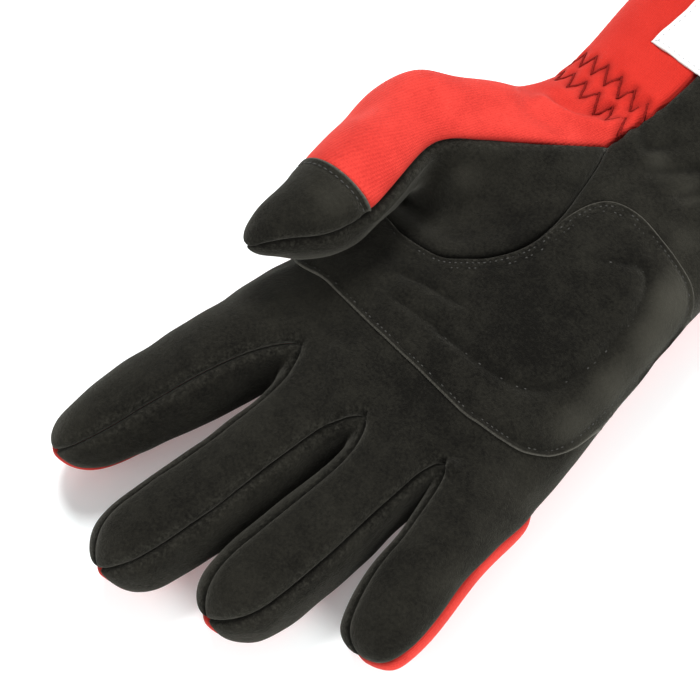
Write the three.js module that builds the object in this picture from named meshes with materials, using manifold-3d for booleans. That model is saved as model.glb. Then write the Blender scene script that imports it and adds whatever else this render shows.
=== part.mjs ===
// A right-hand racing glove that lies palm up on its back. Millimetres, +Z up, fingers along -Y.
// One smooth skin is worked out from section tables: a control net of rings is refined once, and
// each sewn panel is then cut out of it along the net's own lines and given its wall thickness.
import * as THREE from 'three';
import Module from 'manifold-3d';

const SKIN_WALL = 1.6;        // palm leather, side strips and thumb, and the knit of the back
const PATCH_WALL = 1.5;       // second leather layer on the palm
const LABEL_WALL = 1.0;
const SEAM_GAP = 0.34;        // clear space between two panels at a seam
const LAYER_GAP = 0.35;       // clear space under a piece that is sewn on top
const LEVEL_ENOUGH = 0.2;     // least upward part of the surface's direction under such a piece
const CUTTER_DEPTH = 100;     // height of the outlines that trim those pieces
const NET_GROWTH = 1.09;      // how far control points stand outside the surface they make
const SIDE_GROWTH = 1.2;      // the same, at the two edges of the hand
const COLUMN_INSET = 6;       // from the edge of the hand to its last column
const REST_Z = 0;             // the surface that the glove lies on

// Sections of the cuff and palm, from the cuff's mouth to the knuckles.
// left and right are the thumb-side and little-finger-side edges, low and high the heights,
// seam is x of the first top column, back is x of the first bottom column, side is the seam's
// angle on the little finger's side, and shape is the exponent of the section's outline.
const HAND_SECTIONS = [
  { y: 126, left: -43, right: 54, low: -1.5, high: 53, seam: -7, back: -24, side: -4, shape: 2.2 },
  { y: 102, left: -43.2, right: 51, low: -0.5, high: 47, seam: -1.6, back: -21, side: -4, shape: 2.2 },
  { y: 76, left: -37.6, right: 48, low: 0.5, high: 39.3, seam: 3.8, back: -18, side: -8, shape: 2.2 },
  { y: 54, left: -36.4, right: 44.6, low: 0, high: 35.2, seam: -0.5, back: -19.5, side: -25, shape: 2.2 },
  { y: 37, left: -38, right: 48, low: -2, high: 35, seam: 4.2, back: -22, side: -26, shape: 2.3 },
  { y: 16, left: -42, right: 51.3, low: -2, high: 32.5, seam: 9, back: -28, side: -27, shape: 2.3 },
  { y: -5, left: -43, right: 55.1, low: -2, high: 30, seam: -5, back: -33, side: -21, shape: 2.3 },
  { y: -18, left: -42.5, right: 57.9, low: -2, high: 27.9, seam: -29, back: -34, side: -20, shape: 2.3 },
  { y: -30, left: -42.5, right: 58.3, low: -1.5, high: 27.5, seam: -34, back: -35, side: -8, shape: 2.3 },
];
const THUMB_FIRST = 3;        // the thumb grows out of the sections from this one
const THUMB_LAST = 6;         // to this one

// Columns across the palm as shares from the first to the last, two to a finger.
const COLUMN_SHARES = [0, 0.1, 0.236, 0.393, 0.535, 0.663, 0.79, 0.905, 1];

// The knuckle ring, where the fingers part. Each column has its x, and y and z on either face.
const KNUCKLES = [
  { x: -37, palmY: -43, palmZ: 24, backY: -37, backZ: 1 },
  { x: -28, palmY: -46, palmZ: 27.5, backY: -39, backZ: -2 },
  { x: -14.5, palmY: -46, palmZ: 26, backY: -41, backZ: 1.5 },
  { x: -1, palmY: -50, palmZ: 28.5, backY: -43, backZ: -2 },
  { x: 12.5, palmY: -48, palmZ: 26, backY: -42, backZ: 1.5 },
  { x: 23, palmY: -46, palmZ: 27.5, backY: -40, backZ: -2 },
  { x: 35, palmY: -38, palmZ: 24.5, backY: -35, backZ: 1.5 },
  { x: 46, palmY: -38, palmZ: 25.5, backY: -32, backZ: -2 },
  { x: 55.6, palmY: -34, palmZ: 21.5, backY: -29, backZ: 1 },
];
const KNUCKLE_EDGES = {
  thumbSide: [[-42, -43, 18.5], [-44, -42, 12], [-41.5, -40, 5]],
  littleSide: [[57.6, -34, 19], [60.2, -32, 12.5], [59.8, -30, 4.5]],
};
const WEBS = [[-14, -62, 13.5], [12.8, -59, 13.5], [36.6, -50, 12.5]];

// Sections of each finger from its first free ring to the last ring before the tip:
// centre, width, height and, at the end, the tip.
const FINGERS = {
  index: {
    roll: -19,
    sections: [
      { x: -28.4, y: -63, z: 13.4, width: 26.8, height: 27 },
      { x: -32.4, y: -85.2, z: 12.8, width: 25.6, height: 23.8 },
      { x: -33.6, y: -100.2, z: 12.2, width: 22.4, height: 21.2 },
      { x: -35.1, y: -111.1, z: 12.8, width: 18.4, height: 17.2 },
    ],
    tip: [-36.8, -121.6, 15],
  },
  middle: {
    roll: -10,
    sections: [
      { x: 0.4, y: -65.2, z: 13.2, width: 24.4, height: 26.8 },
      { x: 0.2, y: -91.2, z: 12.4, width: 26.4, height: 25.4 },
      { x: -1.2, y: -113.6, z: 12.6, width: 26.8, height: 23.6 },
      { x: -2.2, y: -123.1, z: 13.4, width: 21.6, height: 18.2 },
    ],
    tip: [-2.2, -133.4, 15.4],
  },
  ring: {
    roll: 0,
    sections: [
      { x: 26, y: -61, z: 13, width: 24.2, height: 25.8 },
      { x: 26.9, y: -84, z: 12.6, width: 26.6, height: 24.8 },
      { x: 27.1, y: -101.2, z: 11.6, width: 27.2, height: 23.2 },
      { x: 26.8, y: -110.9, z: 13.6, width: 20.5, height: 17.6 },
    ],
    tip: [26, -119.2, 15.2],
  },
  little: {
    roll: -13,
    sections: [
      { x: 50.2, y: -54, z: 12.1, width: 22.2, height: 25.1 },
      { x: 54.6, y: -73, z: 11.8, width: 23.4, height: 24.1 },
      { x: 57.3, y: -83, z: 11.9, width: 20.6, height: 19.6 },
      { x: 58.8, y: -88.5, z: 12.6, width: 17, height: 12.2 },
    ],
    tip: [59.2, -92.2, 10.8],
  },
};

// Sections of the thumb. lean tips the section's height from upright towards the palm. seamA and
// seamB are the angles of the two seams from the section's top, and between them is the pad.
const THUMB_SECTIONS = [
  { x: -42.4, y: 17.2, z: 26.5, width: 38.4, height: 35.4, lean: -20, seamA: 56.5, seamB: 186.5 },
  { x: -45.4, y: 9.4, z: 31.4, width: 26.8, height: 25.4, lean: -22, seamA: 78.1, seamB: 212.5 },
  { x: -40.2, y: -4.2, z: 36.4, width: 25.4, height: 24.6, lean: -15, seamA: 77.5, seamB: 216 },
  { x: -37.2, y: -17.8, z: 37.1, width: 26.2, height: 23, lean: -8, seamA: 72.5, seamB: 220 },
  { x: -36.2, y: -28, z: 38.6, width: 22.4, height: 21.4, lean: 0, seamA: 62.5, seamB: 218 },
  { x: -40.2, y: -38.5, z: 39.2, width: 15.4, height: 15.2, lean: -2, seamA: 51, seamB: 212 },
];
const THUMB_TIP = [-42, -50.6, 38];
const THUMB_ROOT_SHARE = 0.5; // place of the root ring between the hand and the first section
const CAP_FROM_SECTION = 3;   // the thumb's leather cap starts at this section

// Angles of a ring's points from the middle of the palm side, towards the little finger.
const FRONT_SEAM = 43;
const BACK_SEAM = 126;
const RING_ANGLES = {
  index: [0, FRONT_SEAM, 88, BACK_SEAM, 180, -138, -114, -92, -64, -34],
  middle: [0, FRONT_SEAM, 88, BACK_SEAM, 180, -BACK_SEAM, -88, -FRONT_SEAM],
  ring: [0, FRONT_SEAM, 88, BACK_SEAM, 180, -BACK_SEAM, -88, -FRONT_SEAM],
  little: [0, 32, 56, 78, 108, 138, 180, -BACK_SEAM, -88, -FRONT_SEAM],
};

const rad = THREE.MathUtils.degToRad;
const lerp = THREE.MathUtils.lerp;
const UPRIGHT = new THREE.Vector3(0, 0, 1);

// The control net: points, and quads that each carry the name of their panel.
class Net {
  constructor() {
    this.points = [];
    this.quads = [];
  }

  add(x, y, z) {
    this.points.push(new THREE.Vector3(x, y, z));
    return this.points.length - 1;
  }

  quad(panel, a, b, c, d) {
    this.quads.push({ panel, ring: [a, b, c, d] });
  }

  // Joins two rings of the same length, whose points run the same way round.
  band(ringA, ringB, panelOf) {
    for (let k = 0; k < ringA.length; k++) {
      const next = (k + 1) % ringA.length;
      this.quad(panelOf(k), ringA[k], ringB[k], ringB[next], ringA[next]);
    }
  }
}

// Point on a hand section's rounded outline above or below x.
function outlineZ(section, x, side) {
  const centre = (section.left + section.right) / 2;
  const half = (section.right - section.left) / 2;
  const across = Math.min(1, Math.abs((x - centre) / half));
  const rise = Math.pow(1 - Math.pow(across, section.shape), 1 / section.shape);
  const middle = (section.low + section.high) / 2;
  return middle + side * rise * (section.high - section.low) / 2;
}

// Point on the outline at an angle from level, on the little finger's side or the thumb's.
function outlinePoint(net, section, side, degrees) {
  const bend = (value) => Math.sign(value) * Math.pow(Math.abs(value), 2 / section.shape);
  const half = (section.right - section.left) / 2 + SIDE_GROWTH;
  const x = (section.left + section.right) / 2 + side * half * bend(Math.cos(rad(degrees)));
  const rise = (section.high - section.low) / 2 * bend(Math.sin(rad(degrees)));
  return net.add(x, section.y, (section.low + section.high) / 2 + rise);
}

// One ring of the hand: nine top columns, three thumb-side points, nine bottom columns and
// three little-finger-side points. Every ring starts at the first top column.
function handRing(net, section) {
  const lastColumn = section.right - COLUMN_INSET;
  const column = (from, side) => (share) => {
    const x = lerp(from, lastColumn, share);
    return net.add(x, section.y, outlineZ(section, x, side));
  };
  return {
    top: COLUMN_SHARES.map(column(section.seam, 1)),
    bottom: COLUMN_SHARES.map(column(section.back, -1)),
    littleSide: [20, section.side, section.side - 28].map((a) => outlinePoint(net, section, 1, a)),
    thumbSide: [42, 4, -34].map((a) => outlinePoint(net, section, -1, a)),
  };
}

function knuckleRing(net) {
  return {
    top: KNUCKLES.map((k) => net.add(k.x, k.palmY, k.palmZ)),
    bottom: KNUCKLES.map((k) => net.add(k.x, k.backY, k.backZ)),
    littleSide: KNUCKLE_EDGES.littleSide.map((p) => net.add(...p)),
    thumbSide: KNUCKLE_EDGES.thumbSide.map((p) => net.add(...p)),
  };
}

// All points of a hand ring in order: over the palm to the little finger, back under to the thumb.
const wholeRing = (ring) => [
  ...ring.top, ...ring.littleSide, ...[...ring.bottom].reverse(), ...[...ring.thumbSide].reverse(),
];
const LITTLE_SEAM = 10;       // place of the seam point on the little finger's side in that order
const LAST_COLUMN = 20;       // place of the first bottom column
const THUMB_SIDE_SEAM = 22;   // place of the seam point on the thumb's side

function handPanel(k, beyondThumb) {
  if (k < LITTLE_SEAM) return 'palm_panel';
  if (beyondThumb && k >= THUMB_SIDE_SEAM) return 'palm_panel';
  return 'back_panel';
}

// A ring across a finger or thumb, square to its axis. up is the direction of angle zero.
function crossRing(net, section, axis, up, angles) {
  const side = new THREE.Vector3().crossVectors(up, axis).normalize();
  const top = new THREE.Vector3().crossVectors(axis, side).normalize();
  return angles.map((degrees) => {
    const p = new THREE.Vector3(section.x, section.y, section.z)
      .addScaledVector(side, Math.sin(rad(degrees)) * section.width / 2 * NET_GROWTH)
      .addScaledVector(top, Math.cos(rad(degrees)) * section.height / 2 * NET_GROWTH);
    return net.add(p.x, p.y, p.z);
  });
}

// Unit vectors along a row of sections, which ends at the tip.
function axesOf(sections, tip) {
  const at = [...sections.map((s) => new THREE.Vector3(s.x, s.y, s.z)), new THREE.Vector3(...tip)];
  return sections.map((_, i) => at[i + 1].clone().sub(at[Math.max(0, i - 1)]).normalize());
}

// Closes a ring with quads that meet in one point at the tip.
function closeTip(net, ring, tip, panelOf) {
  const centre = net.add(...tip);
  for (let k = 0; k < ring.length; k += 2) {
    const a = (k + ring.length - 1) % ring.length;
    net.quad(panelOf(k), ring[a], centre, ring[(k + 1) % ring.length], ring[k]);
  }
}

// The same with one more point, so that the seam at the ring's first point stays one line.
function closeTipAtSeam(net, ring, tip, panelOf) {
  const centre = net.add(...tip);
  const middle = net.points[ring[0]].clone().lerp(net.points[centre], 0.5);
  const between = net.add(middle.x, middle.y, middle.z);
  const last = ring.length - 1;
  net.quad(panelOf(0), ring[1], ring[0], between, centre);
  net.quad(panelOf(last), ring[0], ring[last], centre, between);
  for (let k = 2; k < last; k += 2) {
    net.quad(panelOf(k), ring[k - 1], centre, ring[k + 1], ring[k]);
  }
}

const STRIPS = {
  index: [null, 'side_strip_index_middle'],
  middle: ['side_strip_index_middle', 'side_strip_middle_ring'],
  ring: ['side_strip_middle_ring', 'side_strip_ring_little'],
  little: ['side_strip_ring_little', null],
};

// Panel of each segment round a finger, from the middle of the palm side.
function fingerPanel(name, k) {
  const [thumbward, outward] = STRIPS[name];
  const count = RING_ANGLES[name].length;
  const fromEnd = count - 1 - k;
  if (outward) {
    if (k === 1 || k === 2) return outward;
  } else if (k === 1 || k === 2) return 'palm_panel';
  if (thumbward) {
    if (fromEnd === 1 || fromEnd === 2) return thumbward;
  } else if (fromEnd === 1 || fromEnd === 2) return 'palm_panel';
  return k === 0 || fromEnd === 0 ? 'palm_panel' : 'back_panel';
}

function addFinger(net, name, baseRing) {
  const { sections, tip, roll } = FINGERS[name];
  const angles = RING_ANGLES[name];
  const pad = new THREE.Vector3(Math.sin(rad(roll)), 0, Math.cos(rad(roll)));
  const axes = axesOf(sections, tip);
  let last = baseRing;
  sections.forEach((section, i) => {
    const ring = crossRing(net, section, axes[i], pad, angles);
    net.band(last, ring, (k) => fingerPanel(name, k));
    last = ring;
  });
  closeTip(net, last, tip, (k) => fingerPanel(name, k));
}

const THUMB_FRONT_SEGMENTS = THUMB_LAST - THUMB_FIRST + 2;

function thumbPanel(k, sectionIndex) {
  if (k < THUMB_FRONT_SEGMENTS) return 'thumb_front';
  return sectionIndex > CAP_FROM_SECTION ? 'thumb_cap' : 'back_panel';
}

function addThumb(net, rings) {
  const block = rings.slice(THUMB_FIRST, THUMB_LAST + 1);
  const first = block[0];
  const last = block[block.length - 1];
  const baseRing = [
    ...block.map((r) => r.top[0]),
    ...last.thumbSide,
    ...[...block].reverse().map((r) => r.bottom[0]),
    ...[...first.thumbSide].reverse(),
  ];
  const backSegments = baseRing.length - THUMB_FRONT_SEGMENTS;
  const axes = axesOf(THUMB_SECTIONS, THUMB_TIP);
  let previous = baseRing;
  THUMB_SECTIONS.forEach((section, i) => {
    const { seamA, seamB, lean } = section;
    const angles = baseRing.map((_, k) => (k <= THUMB_FRONT_SEGMENTS
      ? lerp(seamA, seamB, k / THUMB_FRONT_SEGMENTS)
      : lerp(seamB, seamA + 360, (k - THUMB_FRONT_SEGMENTS) / backSegments)));
    const across = new THREE.Vector3().crossVectors(UPRIGHT, axes[i]).normalize();
    const level = new THREE.Vector3().crossVectors(axes[i], across);
    const up = level.multiplyScalar(Math.cos(rad(lean))).addScaledVector(across, Math.sin(rad(lean)));
    const ring = crossRing(net, section, axes[i], up, angles);
    if (i === 0) {
      const root = previous.map((v, k) => {
        const p = net.points[v].clone().lerp(net.points[ring[k]], THUMB_ROOT_SHARE);
        return net.add(p.x, p.y, p.z);
      });
      net.band(previous, root, (k) => thumbPanel(k, i));
      previous = root;
    }
    net.band(previous, ring, (k) => thumbPanel(k, i));
    previous = ring;
  });
  closeTipAtSeam(net, previous, THUMB_TIP, (k) => thumbPanel(k, THUMB_SECTIONS.length));
}

function buildNet() {
  const net = new Net();
  const rings = [...HAND_SECTIONS.map((s) => handRing(net, s)), knuckleRing(net)];
  for (let i = 1; i < rings.length; i++) {
    const beyondThumb = i > THUMB_LAST;
    const inThumb = i > THUMB_FIRST && i <= THUMB_LAST;
    const a = wholeRing(rings[i - 1]);
    const b = wholeRing(rings[i]);
    for (let k = 0; k < a.length; k++) {
      if (inThumb && k >= LAST_COLUMN) continue;
      const next = (k + 1) % a.length;
      net.quad(handPanel(k, beyondThumb), a[k], b[k], b[next], a[next]);
    }
  }
  const knuckles = rings[rings.length - 1];
  const { top, bottom, littleSide, thumbSide } = knuckles;
  const webs = WEBS.map((p) => net.add(...p));
  const thumbward = [...thumbSide].reverse();
  const bases = {
    index: [top[1], top[2], webs[0], bottom[2], bottom[1], bottom[0], ...thumbward, top[0]],
    middle: [top[3], top[4], webs[1], bottom[4], bottom[3], bottom[2], webs[0], top[2]],
    ring: [top[5], top[6], webs[2], bottom[6], bottom[5], bottom[4], webs[1], top[4]],
    little: [top[7], top[8], ...littleSide, bottom[8], bottom[7], bottom[6], webs[2], top[6]],
  };
  Object.keys(FINGERS).forEach((name) => addFinger(net, name, bases[name]));
  addThumb(net, rings);
  return net;
}

// One round of Catmull-Clark subdivision. Open edges follow their own curve.
function refine(net) {
  const out = new Net();
  const edges = new Map();
  const key = (a, b) => (a < b ? a + '_' + b : b + '_' + a);
  const around = net.points.map(() => ({ faces: [], mids: [], open: [] }));
  out.points = net.points.map((p) => p.clone());
  const facePoints = net.quads.map(({ ring }) => {
    const sum = ring.reduce((s, i) => s.add(net.points[i]), new THREE.Vector3());
    return out.points.push(sum.divideScalar(4)) - 1;
  });
  net.quads.forEach(({ ring }, f) => ring.forEach((a, k) => {
    const b = ring[(k + 1) % 4];
    const id = key(a, b);
    if (!edges.has(id)) edges.set(id, { a, b, faces: [] });
    edges.get(id).faces.push(facePoints[f]);
    around[a].faces.push(facePoints[f]);
  }));
  for (const edge of edges.values()) {
    const middle = net.points[edge.a].clone().add(net.points[edge.b]).divideScalar(2);
    const smooth = middle.clone();
    if (edge.faces.length === 2) {
      smooth.multiplyScalar(2);
      edge.faces.forEach((f) => smooth.add(out.points[f]));
      smooth.divideScalar(4);
    }
    edge.point = out.points.push(smooth) - 1;
    [edge.a, edge.b].forEach((v) => {
      around[v].mids.push(middle);
      if (edge.faces.length === 1) around[v].open.push(middle);
    });
  }
  net.points.forEach((p, v) => {
    const { faces, mids, open } = around[v];
    const n = faces.length;
    if (open.length) {
      out.points[v] = p.clone().multiplyScalar(2).add(open[0]).add(open[1]).divideScalar(4);
      return;
    }
    const f = faces.reduce((s, i) => s.add(out.points[i]), new THREE.Vector3()).divideScalar(n);
    const m = mids.reduce((s, q) => s.add(q), new THREE.Vector3()).divideScalar(n);
    out.points[v] = f.addScaledVector(m, 2).addScaledVector(p, n - 3).divideScalar(n);
  });
  net.quads.forEach(({ ring, panel }, q) => ring.forEach((v, k) => {
    const before = ring[(k + 3) % 4];
    const after = ring[(k + 1) % 4];
    out.quad(panel, v, edges.get(key(v, after)).point, facePoints[q], edges.get(key(before, v)).point);
  }));
  return out;
}

function normalsOf(net) {
  const normals = net.points.map(() => new THREE.Vector3());
  const u = new THREE.Vector3();
  const v = new THREE.Vector3();
  net.quads.forEach(({ ring }) => {
    const [a, b, c, d] = ring.map((i) => net.points[i]);
    u.subVectors(c, a);
    v.subVectors(d, b);
    u.cross(v);
    ring.forEach((i) => normals[i].add(u));
  });
  return normals.map((n) => n.normalize());
}

// In-surface directions that lead from a panel's edge to its inside, one for each edge vertex.
function edgeInsets(quads, points, normals) {
  const directed = new Map();
  quads.forEach(({ ring }) => ring.forEach((a, k) => {
    const b = ring[(k + 1) % 4];
    directed.set(a + '_' + b, [a, b]);
  }));
  const insets = new Map();
  for (const [a, b] of directed.values()) {
    if (directed.has(b + '_' + a)) continue;
    const along = points[b].clone().sub(points[a]).normalize();
    [a, b].forEach((v) => {
      const inward = normals[v].clone().cross(along).normalize();
      if (!insets.has(v)) insets.set(v, []);
      insets.get(v).push(inward);
    });
  }
  const result = new Map();
  insets.forEach((list, v) => {
    const sum = list[0].clone().add(list[list.length - 1]);
    const cosine = Math.max(0.5, sum.length() / 2);
    result.set(v, sum.normalize().divideScalar(cosine));
  });
  return result;
}

// Closed triangles between an outer and an inner copy of a panel's quads.
function wallGeometry(quads, outer, inner) {
  const positions = [];
  const index = [];
  const placed = new Map();
  const place = (v, isInner) => {
    const id = v + (isInner ? 'i' : 'o');
    if (!placed.has(id)) {
      placed.set(id, positions.length / 3);
      positions.push(...(isInner ? inner(v) : outer(v)).toArray());
    }
    return placed.get(id);
  };
  const directed = new Set();
  quads.forEach(({ ring }) => ring.forEach((a, k) => directed.add(a + '_' + ring[(k + 1) % 4])));
  quads.forEach(({ ring }) => {
    const [a, b, c, d] = ring.map((v) => place(v, false));
    const [e, f, g, h] = ring.map((v) => place(v, true));
    index.push(a, b, c, a, c, d, g, f, e, h, g, e);
    ring.forEach((v, k) => {
      const w = ring[(k + 1) % 4];
      if (directed.has(w + '_' + v)) return;
      const [p, q] = [place(v, false), place(w, false)];
      const [r, s] = [place(v, true), place(w, true)];
      index.push(...(v < w ? [p, s, q, p, r, s] : [p, r, q, q, r, s]));
    });
  });
  const geometry = new THREE.BufferGeometry();
  geometry.setAttribute('position', new THREE.Float32BufferAttribute(positions, 3));
  geometry.setIndex(index);
  return geometry;
}

const flatOnRest = (p, lowest) => {
  p.z = Math.max(p.z, lowest);
  return p;
};

// A panel of the skin with its wall inside the surface and half a seam gap off each edge.
function panelGeometry(net, normals, panel) {
  const quads = net.quads.filter((q) => q.panel === panel);
  const insets = edgeInsets(quads, net.points, normals);
  const at = (v) => {
    const p = net.points[v].clone();
    return insets.has(v) ? p.addScaledVector(insets.get(v), SEAM_GAP / 2) : p;
  };
  return wallGeometry(
    quads,
    (v) => flatOnRest(at(v), REST_Z),
    (v) => flatOnRest(at(v).addScaledVector(normals[v], -SKIN_WALL), REST_Z + SKIN_WALL),
  );
}

// Outline of the leather patch on the palm, seen from above, as x and y pairs: the far edge, the
// little finger's side, the heel of the hand, then the hollow that follows the thumb's seam.
const PATCH_OUTLINE = [
  [-38, -31.8], [-23.6, -32.1], [-6, -31.8], [10.7, -31], [27.3, -30.1], [34.6, -28.5],
  [40.4, -26.9], [46, -24.4], [50.2, -20.4], [52.2, -16.5], [53.2, -11], [52.7, -3],
  [51.7, 6], [50.4, 15], [49.1, 23], [47.7, 31], [46, 36.2], [43.4, 39.9],
  [39.5, 42], [33, 42.6], [26.7, 42.7], [19.7, 42.6], [13.9, 41.4], [10, 39.2],
  [7.6, 35.6], [6.3, 31], [5.7, 25.3], [5.8, 20.2], [5.3, 14.9], [3.5, 9.8],
  [0.8, 5], [-3.1, 0.5], [-8.7, -4.4], [-15.5, -6.4], [-22, -7.2], [-38, -7.4],
];
const LABEL_OUTLINE = [[-19.8, 82.2], [16.2, 82.2], [16.2, 112.7], [-19.8, 112.7]];

const wasm = await Module();
wasm.setup();

function solidOf(geometry) {
  return new wasm.Manifold(new wasm.Mesh({
    numProp: 3,
    vertProperties: new Float32Array(geometry.getAttribute('position').array),
    triVerts: new Uint32Array(geometry.index.array),
  }));
}

function geometryOf(solid) {
  const mesh = solid.getMesh();
  const geometry = new THREE.BufferGeometry();
  const positions = [];
  for (let i = 0; i < mesh.vertProperties.length; i += mesh.numProp) {
    positions.push(...mesh.vertProperties.slice(i, i + 3));
  }
  geometry.setAttribute('position', new THREE.Float32BufferAttribute(positions, 3));
  geometry.setIndex([...mesh.triVerts]);
  return geometry;
}

// A layer that lies on the skin inside an outline drawn from above.
function layerOnSkin(net, normals, outline, wall, panels, fromY, toY) {
  const facesUp = (v) => {
    const p = net.points[v];
    return p.y > fromY && p.y < toY && normals[v].z > LEVEL_ENOUGH;
  };
  const quads = net.quads.filter(({ ring, panel }) => panels.includes(panel) && ring.every(facesUp));
  const sheet = wallGeometry(
    quads,
    (v) => net.points[v].clone().addScaledVector(normals[v], LAYER_GAP + wall),
    (v) => net.points[v].clone().addScaledVector(normals[v], LAYER_GAP),
  );
  const shape = new THREE.Shape(outline.map(([x, y]) => new THREE.Vector2(x, y)));
  const cutter = new THREE.ExtrudeGeometry(shape, { depth: CUTTER_DEPTH, bevelEnabled: false });
  return geometryOf(solidOf(sheet).intersect(solidOf(indexed(cutter))));
}

function indexed(geometry) {
  const plain = geometry.index ? geometry.toNonIndexed() : geometry;
  const array = plain.getAttribute('position').array;
  const seen = new Map();
  const positions = [];
  const index = [];
  for (let i = 0; i < array.length; i += 3) {
    const id = [array[i], array[i + 1], array[i + 2]].map((x) => x.toFixed(4)).join();
    if (!seen.has(id)) {
      seen.set(id, positions.length / 3);
      positions.push(array[i], array[i + 1], array[i + 2]);
    }
    index.push(seen.get(id));
  }
  const merged = new THREE.BufferGeometry();
  merged.setAttribute('position', new THREE.Float32BufferAttribute(positions, 3));
  merged.setIndex(index);
  return merged;
}

const MATERIALS = {
  suede: new THREE.MeshStandardMaterial({ color: 0x23221f, roughness: 0.95, metalness: 0 }),
  knit: new THREE.MeshStandardMaterial({ color: 0xe23428, roughness: 0.9, metalness: 0 }),
  label: new THREE.MeshStandardMaterial({ color: 0xf4f3ef, roughness: 0.8, metalness: 0 }),
};

const PANELS = {
  palm_panel: MATERIALS.suede,
  back_panel: MATERIALS.knit,
  side_strip_index_middle: MATERIALS.suede,
  side_strip_middle_ring: MATERIALS.suede,
  side_strip_ring_little: MATERIALS.suede,
  thumb_front: MATERIALS.suede,
  thumb_cap: MATERIALS.suede,
};

function buildGlove() {
  const glove = new THREE.Group();
  const skin = refine(buildNet());
  const normals = normalsOf(skin);
  const addMesh = (name, geometry, material) => {
    geometry.computeVertexNormals();
    const mesh = new THREE.Mesh(geometry, material);
    mesh.name = name;
    glove.add(mesh);
  };
  Object.entries(PANELS).forEach(([name, material]) => {
    addMesh(name, panelGeometry(skin, normals, name), material);
  });
  const patch = layerOnSkin(skin, normals, PATCH_OUTLINE, PATCH_WALL, ['palm_panel'], -44, 60);
  addMesh('palm_patch', patch, MATERIALS.suede);
  const cuffPanels = ['palm_panel', 'back_panel'];
  const label = layerOnSkin(skin, normals, LABEL_OUTLINE, LABEL_WALL, cuffPanels, 70, 124);
  addMesh('cuff_label', label, MATERIALS.label);
  return glove;
}

export default buildGlove();
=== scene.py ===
# %% [markdown]
# # A racing glove, palm up
# The glove lies on the back of its hand, filled as if worn: black suede on the palm and on the finger
# fronts, red ribbed knit on the back, a second suede layer on the palm and a white label on the cuff.
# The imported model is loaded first. It is the fixed frame: every piece below stands where it says.

# %% Load the frame
import math

import bpy
import numpy as np
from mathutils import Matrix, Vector
from mathutils.bvhtree import BVHTree
from mathutils.geometry import delaunay_2d_cdt
from mathutils.kdtree import KDTree


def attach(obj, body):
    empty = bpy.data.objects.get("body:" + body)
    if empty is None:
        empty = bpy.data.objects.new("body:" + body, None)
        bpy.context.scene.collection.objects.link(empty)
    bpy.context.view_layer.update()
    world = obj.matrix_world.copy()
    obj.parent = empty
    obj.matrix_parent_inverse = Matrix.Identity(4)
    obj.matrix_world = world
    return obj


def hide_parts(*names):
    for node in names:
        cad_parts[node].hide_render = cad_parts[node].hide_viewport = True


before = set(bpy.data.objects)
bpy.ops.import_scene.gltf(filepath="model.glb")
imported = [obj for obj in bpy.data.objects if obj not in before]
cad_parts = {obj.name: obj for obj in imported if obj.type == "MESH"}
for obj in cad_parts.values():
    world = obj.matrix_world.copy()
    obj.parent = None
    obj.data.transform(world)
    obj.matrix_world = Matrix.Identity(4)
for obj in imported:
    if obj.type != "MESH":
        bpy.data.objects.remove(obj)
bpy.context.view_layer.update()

MM = 0.001

# %% [markdown]
# ## Camera and light
# The camera looks down at 64 degrees from the finger side, as in the photograph. A large soft light
# above the thumb's side gives the faint shadows on the little finger's side, and a pale world
# lightens everything else. These come first, because every later look depends on them.

# %% Camera
def add_to_scene(obj):
    bpy.context.scene.collection.objects.link(obj)
    return obj


def turn_towards(obj, target):
    obj.rotation_euler = (target - obj.location).to_track_quat("-Z", "Y").to_euler()


CAMERA_AT = Vector((186.7, -200.7, 537.1)) * MM
CAMERA_LOOKS_AT = Vector((-15.5, -31.1, -3.9)) * MM
camera = add_to_scene(bpy.data.objects.new("camera", bpy.data.cameras.new("camera")))
camera.data.lens = 110
camera.data.sensor_width = 36
camera.location = CAMERA_AT
turn_towards(camera, CAMERA_LOOKS_AT)
bpy.context.scene.camera = camera
print("camera distance in mm:", round((CAMERA_AT - CAMERA_LOOKS_AT).length / MM))

# %% Lights and the pale world
# name, place in metres, size in metres, power in watts
LIGHTS = [
    ("key_light", (-0.55, 0.35, 0.95), 0.50, 16.0),
    ("fill_light", (0.80, -0.10, 0.50), 0.6, 9.0),
    ("front_light", (-0.1, -0.9, 0.5), 0.8, 1.5),
]
GLOVE_MIDDLE = Vector((0, 0, 0.02))
for name, place, size, power in LIGHTS:
    lamp = add_to_scene(bpy.data.objects.new(name, bpy.data.lights.new(name, "AREA")))
    lamp.data.shape = "DISK"
    lamp.data.size = size
    lamp.data.energy = power
    lamp.location = place
    turn_towards(lamp, GLOVE_MIDDLE)
WORLD_STRENGTH = 0.44
world = bpy.data.worlds.new("pale_world")
world.use_nodes = True
background = world.node_tree.nodes["Background"]
background.inputs["Color"].default_value = (1.0, 1.0, 1.0, 1)
background.inputs["Strength"].default_value = WORLD_STRENGTH
bpy.context.scene.world = world
bpy.context.scene.view_settings.view_transform = "Standard"
print("lights:", [light[0] for light in LIGHTS])

# %% [markdown]
# ## Material helpers
# Each finish is a small node tree. These helpers keep the trees short to read: each adds one node,
# joins its inputs and gives back the output that the next node needs.

# %% Node helpers
def add_node(tree, kind, settings=(), inputs=()):
    made = tree.nodes.new(kind)
    for key, value in dict(settings).items():
        setattr(made, key, value)
    for key, value in dict(inputs).items():
        made.inputs[key].default_value = value
    return made


def math_node(tree, operation, first, second=None, third=None):
    made = add_node(tree, "ShaderNodeMath", {"operation": operation})
    for place, value in enumerate((first, second, third)):
        if value is None:
            continue
        if isinstance(value, (int, float)):
            made.inputs[place].default_value = value
        else:
            tree.links.new(value, made.inputs[place])
    return made.outputs[0]


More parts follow.
